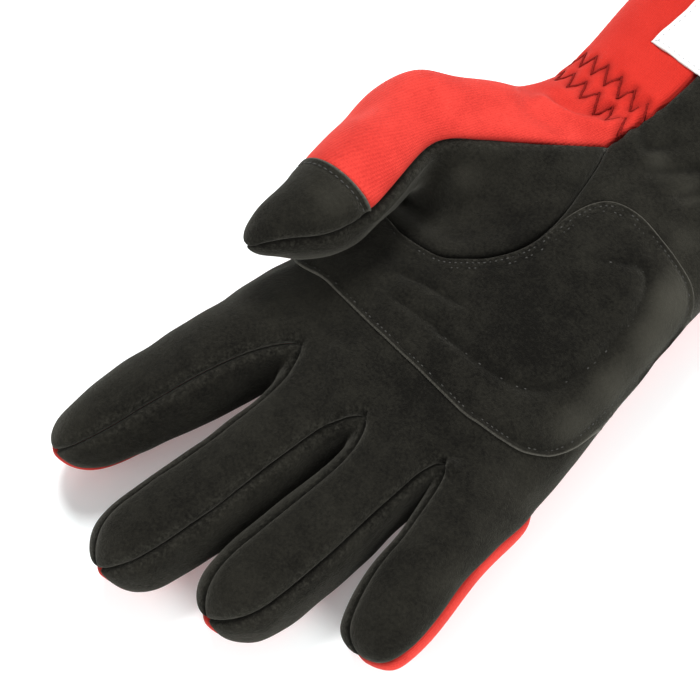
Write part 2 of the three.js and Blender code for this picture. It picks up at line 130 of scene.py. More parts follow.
def mix_colours(tree, share, first, second):
    made = add_node(tree, "ShaderNodeMix", {"data_type": "RGBA"})
    for place, value in (("Factor", share), ("A", first), ("B", second)):
        socket = [s for s in made.inputs if s.name == place and s.enabled][0]
        if isinstance(value, (int, float)):
            socket.default_value = value
        elif isinstance(value, tuple):
            socket.default_value = (*value, 1)
        else:
            tree.links.new(value, socket)
    return [s for s in made.outputs if s.enabled][0]

# %% Helpers for ranges, places, noise and bumps
def spread(tree, value, low, high, to_low=0.0, to_high=1.0):
    made = add_node(tree, "ShaderNodeMapRange")
    tree.links.new(value, made.inputs["Value"])
    for key, number in (("From Min", low), ("From Max", high), ("To Min", to_low), ("To Max", to_high)):
        made.inputs[key].default_value = number
    return made.outputs["Result"]


def object_place(tree):
    return add_node(tree, "ShaderNodeTexCoord").outputs["Object"]


def parts_of(tree, vector):
    made = add_node(tree, "ShaderNodeSeparateXYZ")
    tree.links.new(vector, made.inputs[0])
    return made.outputs


def stored(tree, name):
    """A number that each point of the mesh carries."""
    return add_node(tree, "ShaderNodeAttribute", {"attribute_name": name}).outputs["Fac"]


def noise(tree, size_mm, detail=2.0, rough=0.5):
    made = add_node(tree, "ShaderNodeTexNoise", (), {
        "Scale": 1 / (size_mm * MM), "Detail": detail, "Roughness": rough})
    tree.links.new(object_place(tree), made.inputs["Vector"])
    return made.outputs["Fac"]


def bump(tree, height, depth_mm, after=None):
    made = add_node(tree, "ShaderNodeBump", (), {"Strength": 1.0, "Distance": depth_mm * MM})
    tree.links.new(height, made.inputs["Height"])
    if after is not None:
        tree.links.new(after, made.inputs["Normal"])
    return made.outputs["Normal"]


def plain_shader(name, settings):
    material = bpy.data.materials.new(name)
    material.use_nodes = True
    shader = material.node_tree.nodes["Principled BSDF"]
    for key, value in settings.items():
        shader.inputs[key].default_value = value
    return material, material.node_tree, shader

# %% [markdown]
# ## Black suede
# Suede is leather with its fibres brushed up. It has no gloss, it looks paler where the nap stands
# towards the light, it is blotchy over a centimetre or so, and it is worn paler where a seam rolls
# over and along its cut edges. Shade is painted darker into its seams, creases and stitched channels, and
# broad painted highlights and painted shade lie where it faces towards or away from the lamps, mixed with
# worn nap. The distance to the nearest seam, the painted shade and the painted light are stored on each
# piece for that.

# %% Suede finish
NAP_DARK = (0.0028, 0.0026, 0.0020)
NAP_PALE = (0.0190, 0.0180, 0.0137)
# The pale colour below is the worn nap of the seams' crests, and also painted highlight where the suede
# faces the lamps.
NAP_WORN_AND_PAINTED_HIGHLIGHT = (0.0480, 0.0460, 0.0370)
# The darkest colour below is painted shade in seams, creases and stitched channels.
NAP_PAINTED_SHADE = (0.0022, 0.0021, 0.0017)
CUT_EDGE = (0.1100, 0.1050, 0.0880)


def suede_finish(name):
    material, tree, shader = plain_shader(name, {
        "Roughness": 0.95, "Specular IOR Level": 0.06, "Sheen Weight": 0.20,
        "Sheen Roughness": 0.45, "Sheen Tint": (0.62, 0.60, 0.52, 1)})
    blotch = spread(tree, noise(tree, 19, 4, 0.55), 0.40, 0.62)
    cloud = spread(tree, noise(tree, 6.5, 3, 0.6), 0.38, 0.62)
    nap = spread(tree, noise(tree, 0.85, 4, 0.7), 0.34, 0.68)
    fibre = spread(tree, noise(tree, 0.28, 2, 0.6), 0.30, 0.70)
    # Painted light and shade, with some worn nap: this stored share lightens the nap where the suede
    # faces the lamps and darkens it where shade falls.
    tone = stored(tree, "painted_light_and_worn_nap")
    share = math_node(tree, "MULTIPLY_ADD", nap, 0.54, math_node(tree, "MULTIPLY", blotch, 0.16))
    share = math_node(tree, "MULTIPLY_ADD", cloud, 0.20, share)
    share = math_node(tree, "MULTIPLY_ADD", tone, 0.62, math_node(tree, "ADD", share, -0.06))
    colour = mix_colours(tree, share, NAP_DARK, NAP_PALE)
    colour = mix_colours(tree, spread(tree, tone, 0.30, 1.10, 0.0, 0.60), colour, NAP_WORN_AND_PAINTED_HIGHLIGHT)
    seam = stored(tree, "seam_mm")
    beside = spread(tree, seam, 3.6, 1.0)
    speck = spread(tree, noise(tree, 1.1, 3, 0.7), 0.46, 0.66)
    crest = math_node(tree, "MULTIPLY", beside, speck)
    colour = mix_colours(tree, math_node(tree, "MULTIPLY", crest, 0.44), colour, NAP_WORN_AND_PAINTED_HIGHLIGHT)
    # Painted shade in the seams, the creases and the stitched channels.
    painted_shade = stored(tree, "painted_shade")
    colour = mix_colours(tree, math_node(tree, "MULTIPLY", painted_shade, 0.75), colour, NAP_PAINTED_SHADE)
    edge = stored(tree, "cut_edge")
    frayed = math_node(tree, "MULTIPLY", edge, spread(tree, nap, 0, 1, 0.45, 1.0))
    colour = mix_colours(tree, frayed, colour, CUT_EDGE)
    tree.links.new(colour, shader.inputs["Base Color"])
    pucker = math_node(tree, "MULTIPLY", noise(tree, 2.0, 2, 0.6), spread(tree, seam, 5.0, 0.8))
    puckered = bump(tree, pucker, 0.34)
    rough = bump(tree, noise(tree, 1.6, 4, 0.6), 0.22, puckered)
    tree.links.new(bump(tree, fibre, 0.12, rough), shader.inputs["Normal"])
    return material


black_suede = suede_finish("black_suede")
print("finish:", black_suede.name)

# %% [markdown]
# ## Red rib knit
# The back of the glove is a fine knit. Its ribs run along the hand 0.6 mm apart, and each rib is a
# column of small loops. The pattern reads the piece's own UV map, which counts millimetres across and
# along the ribs, so that it follows the cloth round the wrist and the thumb instead of sliding on it.
# The knit is a deeper red from the wrist to the cuff. Shade is painted into it where a thread draws it
# into a groove, and its rib valleys are painted a little darker and its crests a little paler.

# %% Knit finish
RIB_PITCH = 0.62
LOOP_PITCH = 0.60
KNIT_VALLEY = (0.33, 0.013, 0.010)
KNIT_CREST = (0.66, 0.050, 0.036)
# Painted shade where the zigzag thread draws the knit into a groove.
KNIT_PAINTED_SHADE = (0.20, 0.008, 0.006)
KNIT_CUFF = (0.42, 0.010, 0.003)
CUFF_RED_FROM, CUFF_RED_FULL, CUFF_RED_SHARE = 46, 66, 0.6     # y in mm, y in mm, how much


def knit_finish(name):
    material, tree, shader = plain_shader(name, {
        "Roughness": 0.88, "Specular IOR Level": 0.15, "Sheen Weight": 0.16,
        "Sheen Roughness": 0.4, "Sheen Tint": (1.0, 0.42, 0.36, 1)})
    parts = parts_of(tree, add_node(tree, "ShaderNodeUVMap", {"uv_map": "knit_mm"}).outputs["UV"])
    turn = 2 * math.pi
    across = math_node(tree, "MULTIPLY", parts["X"], turn / RIB_PITCH)
    rib = math_node(tree, "MULTIPLY_ADD", math_node(tree, "COSINE", across), 0.5, 0.5)
    lean = math_node(tree, "MULTIPLY", rib, 1.9)
    along = math_node(tree, "MULTIPLY_ADD", parts["Y"], turn / LOOP_PITCH, lean)
    loop = math_node(tree, "MULTIPLY_ADD", math_node(tree, "COSINE", along), 0.5, 0.5)
    height = math_node(tree, "MULTIPLY_ADD", loop, 0.55, rib)
    fuzz = spread(tree, noise(tree, 0.5, 3, 0.7), 0.3, 0.7)
    cloudy = spread(tree, noise(tree, 9, 2, 0.5), 0.35, 0.65)
    # The rib's height darkens the valleys and lightens the crests: painted shade and light. The fuzz and
    # the clouds are the yarn's own uneven tone.
    share = math_node(tree, "MULTIPLY_ADD", height, 0.14, math_node(tree, "MULTIPLY", fuzz, 0.46))
    share = math_node(tree, "MULTIPLY_ADD", cloudy, 0.22, share)
    share = math_node(tree, "ADD", share, 0.05)
    colour = mix_colours(tree, share, KNIT_VALLEY, KNIT_CREST)
    y = parts_of(tree, object_place(tree))["Y"]
    cuff = spread(tree, y, CUFF_RED_FROM * MM, CUFF_RED_FULL * MM, 0.0, CUFF_RED_SHARE)
    colour = mix_colours(tree, cuff, colour, KNIT_CUFF)
    # Painted shade in the grooves of the zigzag.
    painted_shade = stored(tree, "painted_shade")
    colour = mix_colours(tree, math_node(tree, "MULTIPLY", painted_shade, 0.8), colour, KNIT_PAINTED_SHADE)
    tree.links.new(colour, shader.inputs["Base Color"])
    ribbed = bump(tree, height, 0.06)
    tree.links.new(bump(tree, fuzz, 0.04, ribbed), shader.inputs["Normal"])
    return material


red_knit = knit_finish("red_knit")
print("finish:", red_knit.name)

# %% [markdown]
# ## White tape and threads
# The label is a smooth woven tape. Threads are small twisted yarns: a thread has a soft gloss, which is
# why the black stitches show as small pale beads on the matt suede. The red one has nearly none.

# %% Tape and thread finishes
TAPE_PITCH = 0.35
TAPE_DARK, TAPE_PALE = (0.60, 0.595, 0.57), (0.74, 0.735, 0.715)


def tape_finish(name):
    material, tree, shader = plain_shader(name, {
        "Roughness": 0.75, "Specular IOR Level": 0.3, "Sheen Weight": 0.1})
    parts = parts_of(tree, object_place(tree))
    turn = 2 * math.pi / (TAPE_PITCH * MM)
    warp = math_node(tree, "SINE", math_node(tree, "MULTIPLY", parts["X"], turn))
    weft = math_node(tree, "SINE", math_node(tree, "MULTIPLY", parts["Y"], turn))
    weave = math_node(tree, "MULTIPLY_ADD", math_node(tree, "MULTIPLY", warp, weft), 0.5, 0.5)
    share = math_node(tree, "MULTIPLY_ADD", spread(tree, noise(tree, 6, 2), 0.3, 0.7), 0.5, 0.1)
    # The weave's crossings are painted darker and paler: painted shade and light of the yarns. The noise
    # above is the tape's own uneven tone.
    share = math_node(tree, "MULTIPLY_ADD", weave, 0.3, share)
    tree.links.new(mix_colours(tree, share, TAPE_DARK, TAPE_PALE), shader.inputs["Base Color"])
    tree.links.new(bump(tree, weave, 0.03), shader.inputs["Normal"])
    return material


def thread_finish(name, dark, pale, gloss, shine=0.5):
    material, tree, shader = plain_shader(name, {"Roughness": gloss, "Specular IOR Level": shine})
    twist = spread(tree, noise(tree, 0.35, 2), 0.3, 0.7)
    tree.links.new(mix_colours(tree, twist, dark, pale), shader.inputs["Base Color"])
    tree.links.new(bump(tree, twist, 0.05), shader.inputs["Normal"])
    return material


white_tape = tape_finish("white_tape")
black_thread = thread_finish("black_thread", (0.009, 0.0088, 0.0073), (0.034, 0.0330, 0.0275), 0.65)
red_thread = thread_finish("red_thread", (0.09, 0.004, 0.003), (0.25, 0.010, 0.007), 0.9, 0.1)
grey_thread = thread_finish("grey_thread", (0.24, 0.25, 0.27), (0.42, 0.43, 0.45), 0.6)
print("finishes:", [m.name for m in (white_tape, black_thread, red_thread, grey_thread)])

# %% [markdown]
# ## The glove's sections
# The whole skin is one smooth surface first. It is described by cross-sections, as a tailor would
# measure an arm: the hand from the cuff's mouth to the knuckles, then each finger and the thumb. The
# tables are in millimetres and are the ones that the frame was made from. Only NET_GROWTH, how far the
# rings of the fingers stand outside the skin that they make, is a little larger here.

# %% Section tables
# y, left, right, low, high, x of the thumb's seam, x of the first back column, seam angle, exponent
HAND = [
    (126, -43, 54, -1.5, 53, -7, -24, -4, 2.2),
    (102, -43.2, 51, -0.5, 47, -1.6, -21, -4, 2.2),
    (76, -37.6, 48, 0.5, 39.3, 3.8, -18, -8, 2.2),
    (54, -36.4, 44.6, 0, 35.2, -0.5, -19.5, -25, 2.2),
    (37, -38, 48, -2, 35, 4.2, -22, -26, 2.3),
    (16, -42, 51.3, -2, 32.5, 9, -28, -27, 2.3),
    (-5, -43, 55.1, -2, 30, -5, -33, -21, 2.3),
    (-18, -42.5, 57.9, -2, 27.9, -29, -34, -20, 2.3),
    (-30, -42.5, 58.3, -1.5, 27.5, -34, -35, -8, 2.3),
]
THUMB_FIRST, THUMB_LAST = 3, 6
COLUMN_SHARES = [0, 0.1, 0.236, 0.393, 0.535, 0.663, 0.79, 0.905, 1]
COLUMN_INSET, SIDE_GROWTH, NET_GROWTH = 6, 1.2, 1.105
# x, palm y, palm z, back y, back z
KNUCKLES = [
    (-37, -43, 24, -37, 1), (-28, -46, 27.5, -39, -2), (-14.5, -46, 26, -41, 1.5),
    (-1, -50, 28.5, -43, -2), (12.5, -48, 26, -42, 1.5), (23, -46, 27.5, -40, -2),
    (35, -38, 24.5, -35, 1.5), (46, -38, 25.5, -32, -2), (55.6, -34, 21.5, -29, 1),
]
KNUCKLE_THUMB_SIDE = [(-42, -43, 18.5), (-44, -42, 12), (-41.5, -40, 5)]
KNUCKLE_LITTLE_SIDE = [(57.6, -34, 19), (60.2, -32, 12.5), (59.8, -30, 4.5)]
WEBS = [(-14, -62, 13.5), (12.8, -59, 13.5), (36.6, -50, 12.5)]
print("hand sections:", len(HAND), "and", len(KNUCKLES), "knuckle columns")

# %% Finger and thumb tables
# Fingers: roll, sections of x, y, z, width, height, then the tip.
FINGERS = {
    "index": (-19, [(-28.4, -63, 13.4, 26.8, 27), (-32.4, -85.2, 12.8, 25.6, 23.8),
        (-33.6, -100.2, 12.2, 22.4, 21.2), (-35.1, -111.1, 12.8, 18.4, 17.2)], (-36.8, -121.6, 15)),
    "middle": (-10, [(0.4, -65.2, 13.2, 24.4, 26.8), (0.2, -91.2, 12.4, 26.4, 25.4),
        (-1.2, -113.6, 12.6, 26.8, 23.6), (-2.2, -123.1, 13.4, 21.6, 18.2)], (-2.2, -133.4, 15.4)),
    "ring": (0, [(26, -61, 13, 24.2, 25.8), (26.9, -84, 12.6, 26.6, 24.8),
        (27.1, -101.2, 11.6, 27.2, 23.2), (26.8, -110.9, 13.6, 20.5, 17.6)], (26, -119.2, 15.2)),
    "little": (-13, [(50.2, -54, 12.1, 22.2, 25.1), (54.6, -73, 11.8, 23.4, 24.1),
        (57.3, -83, 11.9, 20.6, 19.6), (58.8, -88.5, 12.6, 17, 12.2)], (59.2, -92.2, 10.8)),
}
RING_ANGLES = {
    "index": [0, 43, 88, 126, 180, -138, -114, -92, -64, -34],
    "middle": [0, 43, 88, 126, 180, -126, -88, -43],
    "ring": [0, 43, 88, 126, 180, -126, -88, -43],
    "little": [0, 32, 56, 78, 108, 138, 180, -126, -88, -43],
}
# Thumb: x, y, z, width, height, lean, angle of the front seam, angle of the back seam
THUMB = [
    (-42.4, 17.2, 26.5, 38.4, 35.4, -20, 56.5, 186.5), (-45.4, 9.4, 31.4, 26.8, 25.4, -22, 78.1, 212.5),
    (-40.2, -4.2, 36.4, 25.4, 24.6, -15, 77.5, 216), (-37.2, -17.8, 37.1, 26.2, 23, -8, 72.5, 220),
    (-36.2, -28, 38.6, 22.4, 21.4, 0, 62.5, 218), (-40.2, -38.5, 39.2, 15.4, 15.2, -2, 51, 212),
]
THUMB_TIP = (-42, -50.6, 38)
CAP_FROM_SECTION = 3
print("sections:", len(HAND), "hand,", len(FINGERS), "fingers,", len(THUMB), "thumb")

# %% [markdown]
# ## The cage
# A low-poly cage of rings is put round the sections. Each quad of the cage knows which sewn panel it
# belongs to. Building the cage ring by ring in code keeps every seam on an edge of the cage, which
# placing primitives by hand would not.

# %% Cage points and quads
PANELS = ["palm_panel", "back_panel", "side_strip_index_middle", "side_strip_middle_ring",
          "side_strip_ring_little", "thumb_front", "thumb_cap"]
cage_points = []
cage_quads = []


def point(x, y, z):
    cage_points.append(np.array((x, y, z), float))
    return len(cage_points) - 1


def quad(panel, a, b, c, d):
    cage_quads.append((PANELS.index(panel), (a, b, c, d)))


def band(ring_a, ring_b, panel_of):
    for k in range(len(ring_a)):
        after = (k + 1) % len(ring_a)
        quad(panel_of(k), ring_a[k], ring_b[k], ring_b[after], ring_a[after])


def powered(value, power):
    return math.copysign(abs(value) ** power, value)


print("panels:", PANELS)

# %% Rings of the hand
def hand_ring(row):
    y, left, right, low, high, seam, back, side, shape = row
    middle, half = (left + right) / 2, (right - left) / 2
    level, tall = (low + high) / 2, (high - low) / 2

    def column(start, way):
        made = []
        for share in COLUMN_SHARES:
            x = start + (right - COLUMN_INSET - start) * share
            rise = (1 - min(1, abs((x - middle) / half)) ** shape) ** (1 / shape)
            made.append((x, y, level + way * rise * tall))
        return made

    def edge(way, degrees):
        angle = math.radians(degrees)
        x = middle + way * (half + SIDE_GROWTH) * powered(math.cos(angle), 2 / shape)
        return (x, y, level + tall * powered(math.sin(angle), 2 / shape))

    return {"top": column(seam, 1), "bottom": column(back, -1),
            "little": [edge(1, a) for a in (20, side, side - 28)],
            "thumb": [edge(-1, a) for a in (42, 4, -34)]}


def knuckle_ring():
    return {"top": [(x, y, z) for x, y, z, _, _ in KNUCKLES],
            "bottom": [(x, y, z) for x, _, _, y, z in KNUCKLES],
            "little": KNUCKLE_LITTLE_SIDE, "thumb": KNUCKLE_THUMB_SIDE}


def half_way(first, second, weights=(0.5, 0.5)):
    return {part: [tuple(np.average((p, q), axis=0, weights=weights))
                   for p, q in zip(first[part], second[part])] for part in first}


print("points of a hand ring:", sum(len(places) for places in hand_ring(HAND[0]).values()))

# %% [markdown]
# The zigzag rows at the wrist need a finer cage than the section tables give, so a ring is put half way
# between each two sections of the cuff, and the rings between them are eased as subdivision would.

# %% All rings of the hand
sections = [hand_ring(row) for row in HAND]
eased = [sections[0]]
for i in range(1, THUMB_FIRST + 1):
    eased.append(half_way(sections[i - 1], sections[i]))
    if i < THUMB_FIRST:
        neighbours = half_way(sections[i - 1], sections[i + 1])
        eased.append(half_way(sections[i], neighbours, (0.75, 0.25)))
rings = eased + sections[THUMB_FIRST:] + [knuckle_ring()]
rings = [{part: [point(*p) for p in places] for part, places in ring.items()} for ring in rings]
thumb_first = len(eased)
thumb_last = thumb_first + THUMB_LAST - THUMB_FIRST


def whole(ring):
    return ring["top"] + ring["little"] + ring["bottom"][::-1] + ring["thumb"][::-1]


LITTLE_SEAM, LAST_COLUMN, THUMB_SIDE_SEAM = 10, 20, 22
for i in range(1, len(rings)):
    a, b = whole(rings[i - 1]), whole(rings[i])
    for k in range(len(a)):
        if thumb_first < i <= thumb_last and k >= LAST_COLUMN:
            continue
        palm = k < LITTLE_SEAM or (i > thumb_last and k >= THUMB_SIDE_SEAM)
        after = (k + 1) % len(a)
        quad("palm_panel" if palm else "back_panel", a[k], b[k], b[after], a[after])
print("hand quads:", len(cage_quads))

# %% Rings of the fingers
def unit(v):
    return v / np.linalg.norm(v)


def cross_ring(centre, width, height, axis, up, angles):
    side = unit(np.cross(up, axis))
    top = unit(np.cross(axis, side))
    made = []
    for degrees in angles:
        angle = math.radians(degrees)
        p = (np.array(centre, float) + side * math.sin(angle) * width / 2 * NET_GROWTH
             + top * math.cos(angle) * height / 2 * NET_GROWTH)
        made.append(point(*p))
    return made


def axes_of(centres, tip):
    at = [np.array(c, float) for c in centres] + [np.array(tip, float)]
    return [unit(at[i + 1] - at[max(0, i - 1)]) for i in range(len(centres))]


def close_tip(ring, tip, panel_of):
    centre = point(*tip)
    count = len(ring)
    for k in range(0, count, 2):
        quad(panel_of(k), ring[k - 1], centre, ring[(k + 1) % count], ring[k])


def close_at_seam(ring, tip, panel_of):
    """As close_tip, with an extra point so that the seam at the ring's first point stays a line."""
    centre = point(*tip)
    between = point(*((cage_points[ring[0]] + cage_points[centre]) / 2))
    quad(panel_of(0), ring[1], ring[0], between, centre)
    quad(panel_of(len(ring) - 1), ring[0], ring[-1], centre, between)
    for k in range(2, len(ring) - 1, 2):
        quad(panel_of(k), ring[k - 1], centre, ring[k + 1], ring[k])

# %% The panel of each quad of a finger
STRIPS = {
    "index": (None, "side_strip_index_middle"),
    "middle": ("side_strip_index_middle", "side_strip_middle_ring"),
    "ring": ("side_strip_middle_ring", "side_strip_ring_little"),
    "little": ("side_strip_ring_little", None),
}


def finger_panel(name, k):
    thumbward, outward = STRIPS[name]
    from_end = len(RING_ANGLES[name]) - 1 - k
    if k in (1, 2):
        return outward or "palm_panel"
    if from_end in (1, 2):
        return thumbward or "palm_panel"
    return "palm_panel" if k == 0 or from_end == 0 else "back_panel"


def add_finger(name, base):
    roll, parts, tip = FINGERS[name]
    pad = np.array((math.sin(math.radians(roll)), 0, math.cos(math.radians(roll))))
    axes = axes_of([part[:3] for part in parts], tip)
    last = base
    for part, axis in zip(parts, axes):
        ring = cross_ring(part[:3], part[3], part[4], axis, pad, RING_ANGLES[name])
        band(last, ring, lambda k: finger_panel(name, k))
        last = ring
    close_tip(last, tip, lambda k: finger_panel(name, k))


knuckles = rings[-1]
top, bottom = knuckles["top"], knuckles["bottom"]
webs = [point(*p) for p in WEBS]
add_finger("index", [top[1], top[2], webs[0], bottom[2], bottom[1], bottom[0],
                     *knuckles["thumb"][::-1], top[0]])
add_finger("middle", [top[3], top[4], webs[1], bottom[4], bottom[3], bottom[2], webs[0], top[2]])
add_finger("ring", [top[5], top[6], webs[2], bottom[6], bottom[5], bottom[4], webs[1], top[4]])
add_finger("little", [top[7], top[8], *knuckles["little"], bottom[8], bottom[7], bottom[6],
                      webs[2], top[6]])
print("with fingers:", len(cage_quads))

# %% Rings of the thumb
block = rings[thumb_first:thumb_last + 1]
base_ring = ([r["top"][0] for r in block] + block[-1]["thumb"]
             + [r["bottom"][0] for r in block[::-1]] + block[0]["thumb"][::-1])
FRONT_SEGMENTS = THUMB_LAST - THUMB_FIRST + 2
back_segments = len(base_ring) - FRONT_SEGMENTS


def thumb_panel(k, section):
    if k < FRONT_SEGMENTS:
        return "thumb_front"
    return "thumb_cap" if section > CAP_FROM_SECTION else "back_panel"


thumb_axes = axes_of([part[:3] for part in THUMB], THUMB_TIP)
last = base_ring
for i, (x, y, z, width, height, lean, seam_a, seam_b) in enumerate(THUMB):
    angles = [seam_a + (seam_b - seam_a) * k / FRONT_SEGMENTS if k <= FRONT_SEGMENTS
              else seam_b + (seam_a + 360 - seam_b) * (k - FRONT_SEGMENTS) / back_segments
              for k in range(len(base_ring))]
    across = unit(np.cross((0, 0, 1), thumb_axes[i]))
    level = np.cross(thumb_axes[i], across)
    up = level * math.cos(math.radians(lean)) + across * math.sin(math.radians(lean))
    ring = cross_ring((x, y, z), width, height, thumb_axes[i], up, angles)
    if i == 0:
        root = [point(*((cage_points[a] + cage_points[b]) / 2)) for a, b in zip(last, ring)]
        band(last, root, lambda k: thumb_panel(k, i))
        last = root
    band(last, ring, lambda k: thumb_panel(k, i))
    last = ring
close_at_seam(last, THUMB_TIP, lambda k: thumb_panel(k, len(THUMB)))
print("cage:", len(cage_points), "points,", len(cage_quads), "quads")

# %% [markdown]
# ## The smooth skin
# The Subdivision Surface modifier turns the cage into the smooth skin. It is applied one level at a
# time, because the points of one level keep their numbers in the next: the fourth level is the
# outside of each panel, and the third, which has a quarter of the faces, is enough for the inside.

# %% Subdivide the cage
def coordinates(mesh):
    flat = np.empty(len(mesh.vertices) * 3)
    mesh.vertices.foreach_get("co", flat)
    return flat.reshape(-1, 3)


def quads_of(mesh):
    flat = np.empty(len(mesh.loops), int)
    mesh.loops.foreach_get("vertex_index", flat)
    panel = np.empty(len(mesh.polygons), int)
    mesh.polygons.foreach_get("material_index", panel)
    return flat.reshape(-1, 4), panel


cage_mesh = bpy.data.meshes.new("skin")
cage_mesh.from_pydata([tuple(p * MM) for p in cage_points], [], [q for _, q in cage_quads])
for name in PANELS:
    cage_mesh.materials.append(black_suede)
cage_mesh.polygons.foreach_set("material_index", [panel for panel, _ in cage_quads])
skin = add_to_scene(bpy.data.objects.new("skin", cage_mesh))
bpy.ops.object.select_all(action="DESELECT")
skin.select_set(True)
bpy.context.view_layer.objects.active = skin
FINE_LEVEL = 4
for step in range(FINE_LEVEL):
    smooth = skin.modifiers.new("smooth", "SUBSURF")
    smooth.levels = smooth.render_levels = 1
    smooth.use_limit_surface = False
    coarse_quads, coarse_panel = quads_of(skin.data)
    bpy.ops.object.modifier_apply(modifier="smooth")
fine_quads, fine_panel = quads_of(skin.data)
P = coordinates(skin.data) / MM
print("skin:", len(P), "points,", len(fine_quads), "quads")

# %% [markdown]
# ## Directions on the skin
# Every later move goes along the skin's own normal: out for a bulge, in for a crease. The normals
# are worked out from the quads' diagonals, and the moves are collected in one list first, so that
# all panels stay together at their seams. A move fades out over a bell-shaped curve.

# %% Quads of a panel, search trees and bell curves
def quads_in(panel):
    return fine_quads[fine_panel == PANELS.index(panel)]


def points_in(panel):
    return set(quads_in(panel).ravel().tolist())


def tree_of(places, quads):
    return BVHTree.FromPolygons([Vector(p) for p in places], [tuple(q) for q in quads])


def bell(distance, width):
    """1 at the middle, 0.37 at the width and next to nothing at twice the width."""
    return np.exp(-(distance / width) ** 2)

# %% Normals, gentle noise and distances
def normals_of(places, quads):
    cross = np.cross(places[quads[:, 2]] - places[quads[:, 0]], places[quads[:, 3]] - places[quads[:, 1]])
    total = np.zeros_like(places)
    for corner in range(4):
        for axis in range(3):
            total[:, axis] += np.bincount(quads[:, corner], cross[:, axis], len(places))
    return total / np.maximum(np.linalg.norm(total, axis=1), 1e-12)[:, None]


def lumps(places, size, seed):
    """Smooth random waves of about that size in mm, from -1 to 1."""
    dice = np.random.default_rng(seed)
    total = np.zeros(len(places))
    for _ in range(9):
        way = unit(dice.normal(size=3)) * dice.uniform(0.7, 1.4) * 2 * math.pi / (2 * size)
        total += np.sin(places @ way + dice.uniform(0, 2 * math.pi))
    return total / 4.0


def line_distance(places, line):
    """Distance of each point to a bent line in mm."""
    line = np.array(line, float)
    best = np.full(len(places), 1e9)
    for a, b in zip(line[:-1], line[1:]):
        ab = b - a
        share = np.clip((places - a) @ ab / (ab @ ab), 0, 1)
        best = np.minimum(best, np.linalg.norm(places - a - share[:, None] * ab, axis=1))
    return best


N = normals_of(P, fine_quads)
lift = np.zeros(len(P))
print("skin points that can move:", len(lift))

# %% [markdown]
# ## The zigzag rows of elastic
# Two rows of elastic are sewn to the inside of the wrist with zigzag stitches. They draw the knit in,
# so it bulges between the teeth. The rows are traced round the wrist by casting rays from its middle,
# from the red side of one seam to the other.

# %% Trace the zigzag rows
WRIST_AXIS = (6.5, 18.0)
TOOTH_PITCH = 5.75
TOOTH_HEIGHT = 5.4
ELASTIC_ROWS = [(65.3, 68.9), (58.0, 61.0)]   # y at the first seam, y at the thumb's side
RISES_OVER = 30.0                             # mm along the row between those two
FIRST_ANGLE, FAR_ANGLE = 80.0, 342.0          # from +X towards +Z, the search for the red side
ROW_STARTS_AT, ROW_ENDS_BEFORE = 0.6, 0.5     # mm from the seams
STEPS_IN_A_STROKE = 6                         # places traced along half a tooth
BACK = PANELS.index("back_panel")
skin_tree = tree_of(P, fine_quads)


def from_axis(axis, angle, y):
    """Where a ray from the arm's axis meets the skin: the place, its normal and the face."""
    way = Vector((math.cos(math.radians(angle)), 0, math.sin(math.radians(angle))))
    return skin_tree.ray_cast(Vector((axis[0], y, axis[1])), way)[:3]


def on_wrist(angle, y):
    return from_axis(WRIST_AXIS, angle, y)


def wrist_lengths(y):
    """Angles and the lengths along the wrist that go with them."""
    angles = np.arange(FIRST_ANGLE, FAR_ANGLE, 1.0)
    angles = angles[[fine_panel[on_wrist(a, y)[2]] == BACK for a in angles]]
    places = [on_wrist(a, y)[0] for a in angles]
    steps = [0.0] + [(q - p).length for p, q in zip(places[:-1], places[1:])]
    return angles, np.cumsum(steps)


def zigzag(y_seam, y_side):
    """The row's places and normals: half a tooth down, half a tooth up, and so on."""
    angles, lengths = wrist_lengths((y_seam + y_side) / 2)
    made, line = [], []
    position, tooth = ROW_STARTS_AT, 0
    while position < lengths[-1] - ROW_ENDS_BEFORE:
        rise = min(position / RISES_OVER, 1.0)
        y = y_seam + (y_side - y_seam) * rise + (TOOTH_HEIGHT / 2) * (-1 if tooth % 2 == 0 else 1)
        made.append((np.interp(position, lengths, angles), y))
        position += TOOTH_PITCH / 2
        tooth += 1
    for (a0, y0), (a1, y1) in zip(made[:-1], made[1:]):
        for share in np.linspace(0, 1, STEPS_IN_A_STROKE + 1)[:-1]:
            hit, normal, _ = on_wrist(a0 + (a1 - a0) * share, y0 + (y1 - y0) * share)
            line.append((hit, normal))
    return line


elastic_lines = [zigzag(*row) for row in ELASTIC_ROWS]
print("zigzag points:", [len(line) for line in elastic_lines])

# %% Draw the knit in along the zigzag
WRIST_FROM, WRIST_TO, WRIST_MIDDLE = 48, 80, 63.5
BAND_REACH = 15.0
GROOVE, GROOVE_WIDTH, KNIT_PUFF = 1.2, 1.05, 0.9
FLATTER_FROM, FLATTER_OVER, FLATTER_BY = -15.0, 6.0, 0.6      # towards the thumb's side
FAR_AWAY = 99.0
is_back = np.zeros(len(P), bool)
is_back[quads_in("back_panel").ravel()] = True
near_wrist = is_back & (P[:, 1] > WRIST_FROM) & (P[:, 1] < WRIST_TO)
zigzag_near = np.full(len(P), FAR_AWAY)
for line in elastic_lines:
    found = line_distance(P[near_wrist], [p for p, _ in line])
    zigzag_near[near_wrist] = np.minimum(zigzag_near[near_wrist], found)
band_share = np.clip(1 - np.abs(P[:, 1] - WRIST_MIDDLE) / BAND_REACH, 0, 1)
band_share = band_share * band_share * (3 - 2 * band_share)
puff = KNIT_PUFF * (1 - bell(zigzag_near, 1.9)) * bell(np.maximum(zigzag_near - 2.0, 0), 2.5)
drawn_in = band_share * puff - GROOVE * bell(zigzag_near, GROOVE_WIDTH)
less_at_the_thumb = 1 - FLATTER_BY * np.clip((FLATTER_FROM - P[:, 0]) / FLATTER_OVER, 0, 1)
lift += np.where(zigzag_near < FAR_AWAY, less_at_the_thumb * drawn_in, 0)
HEM_AT, HEM_STEP, HEM_THICK = 118.0, 1.2, 0.45
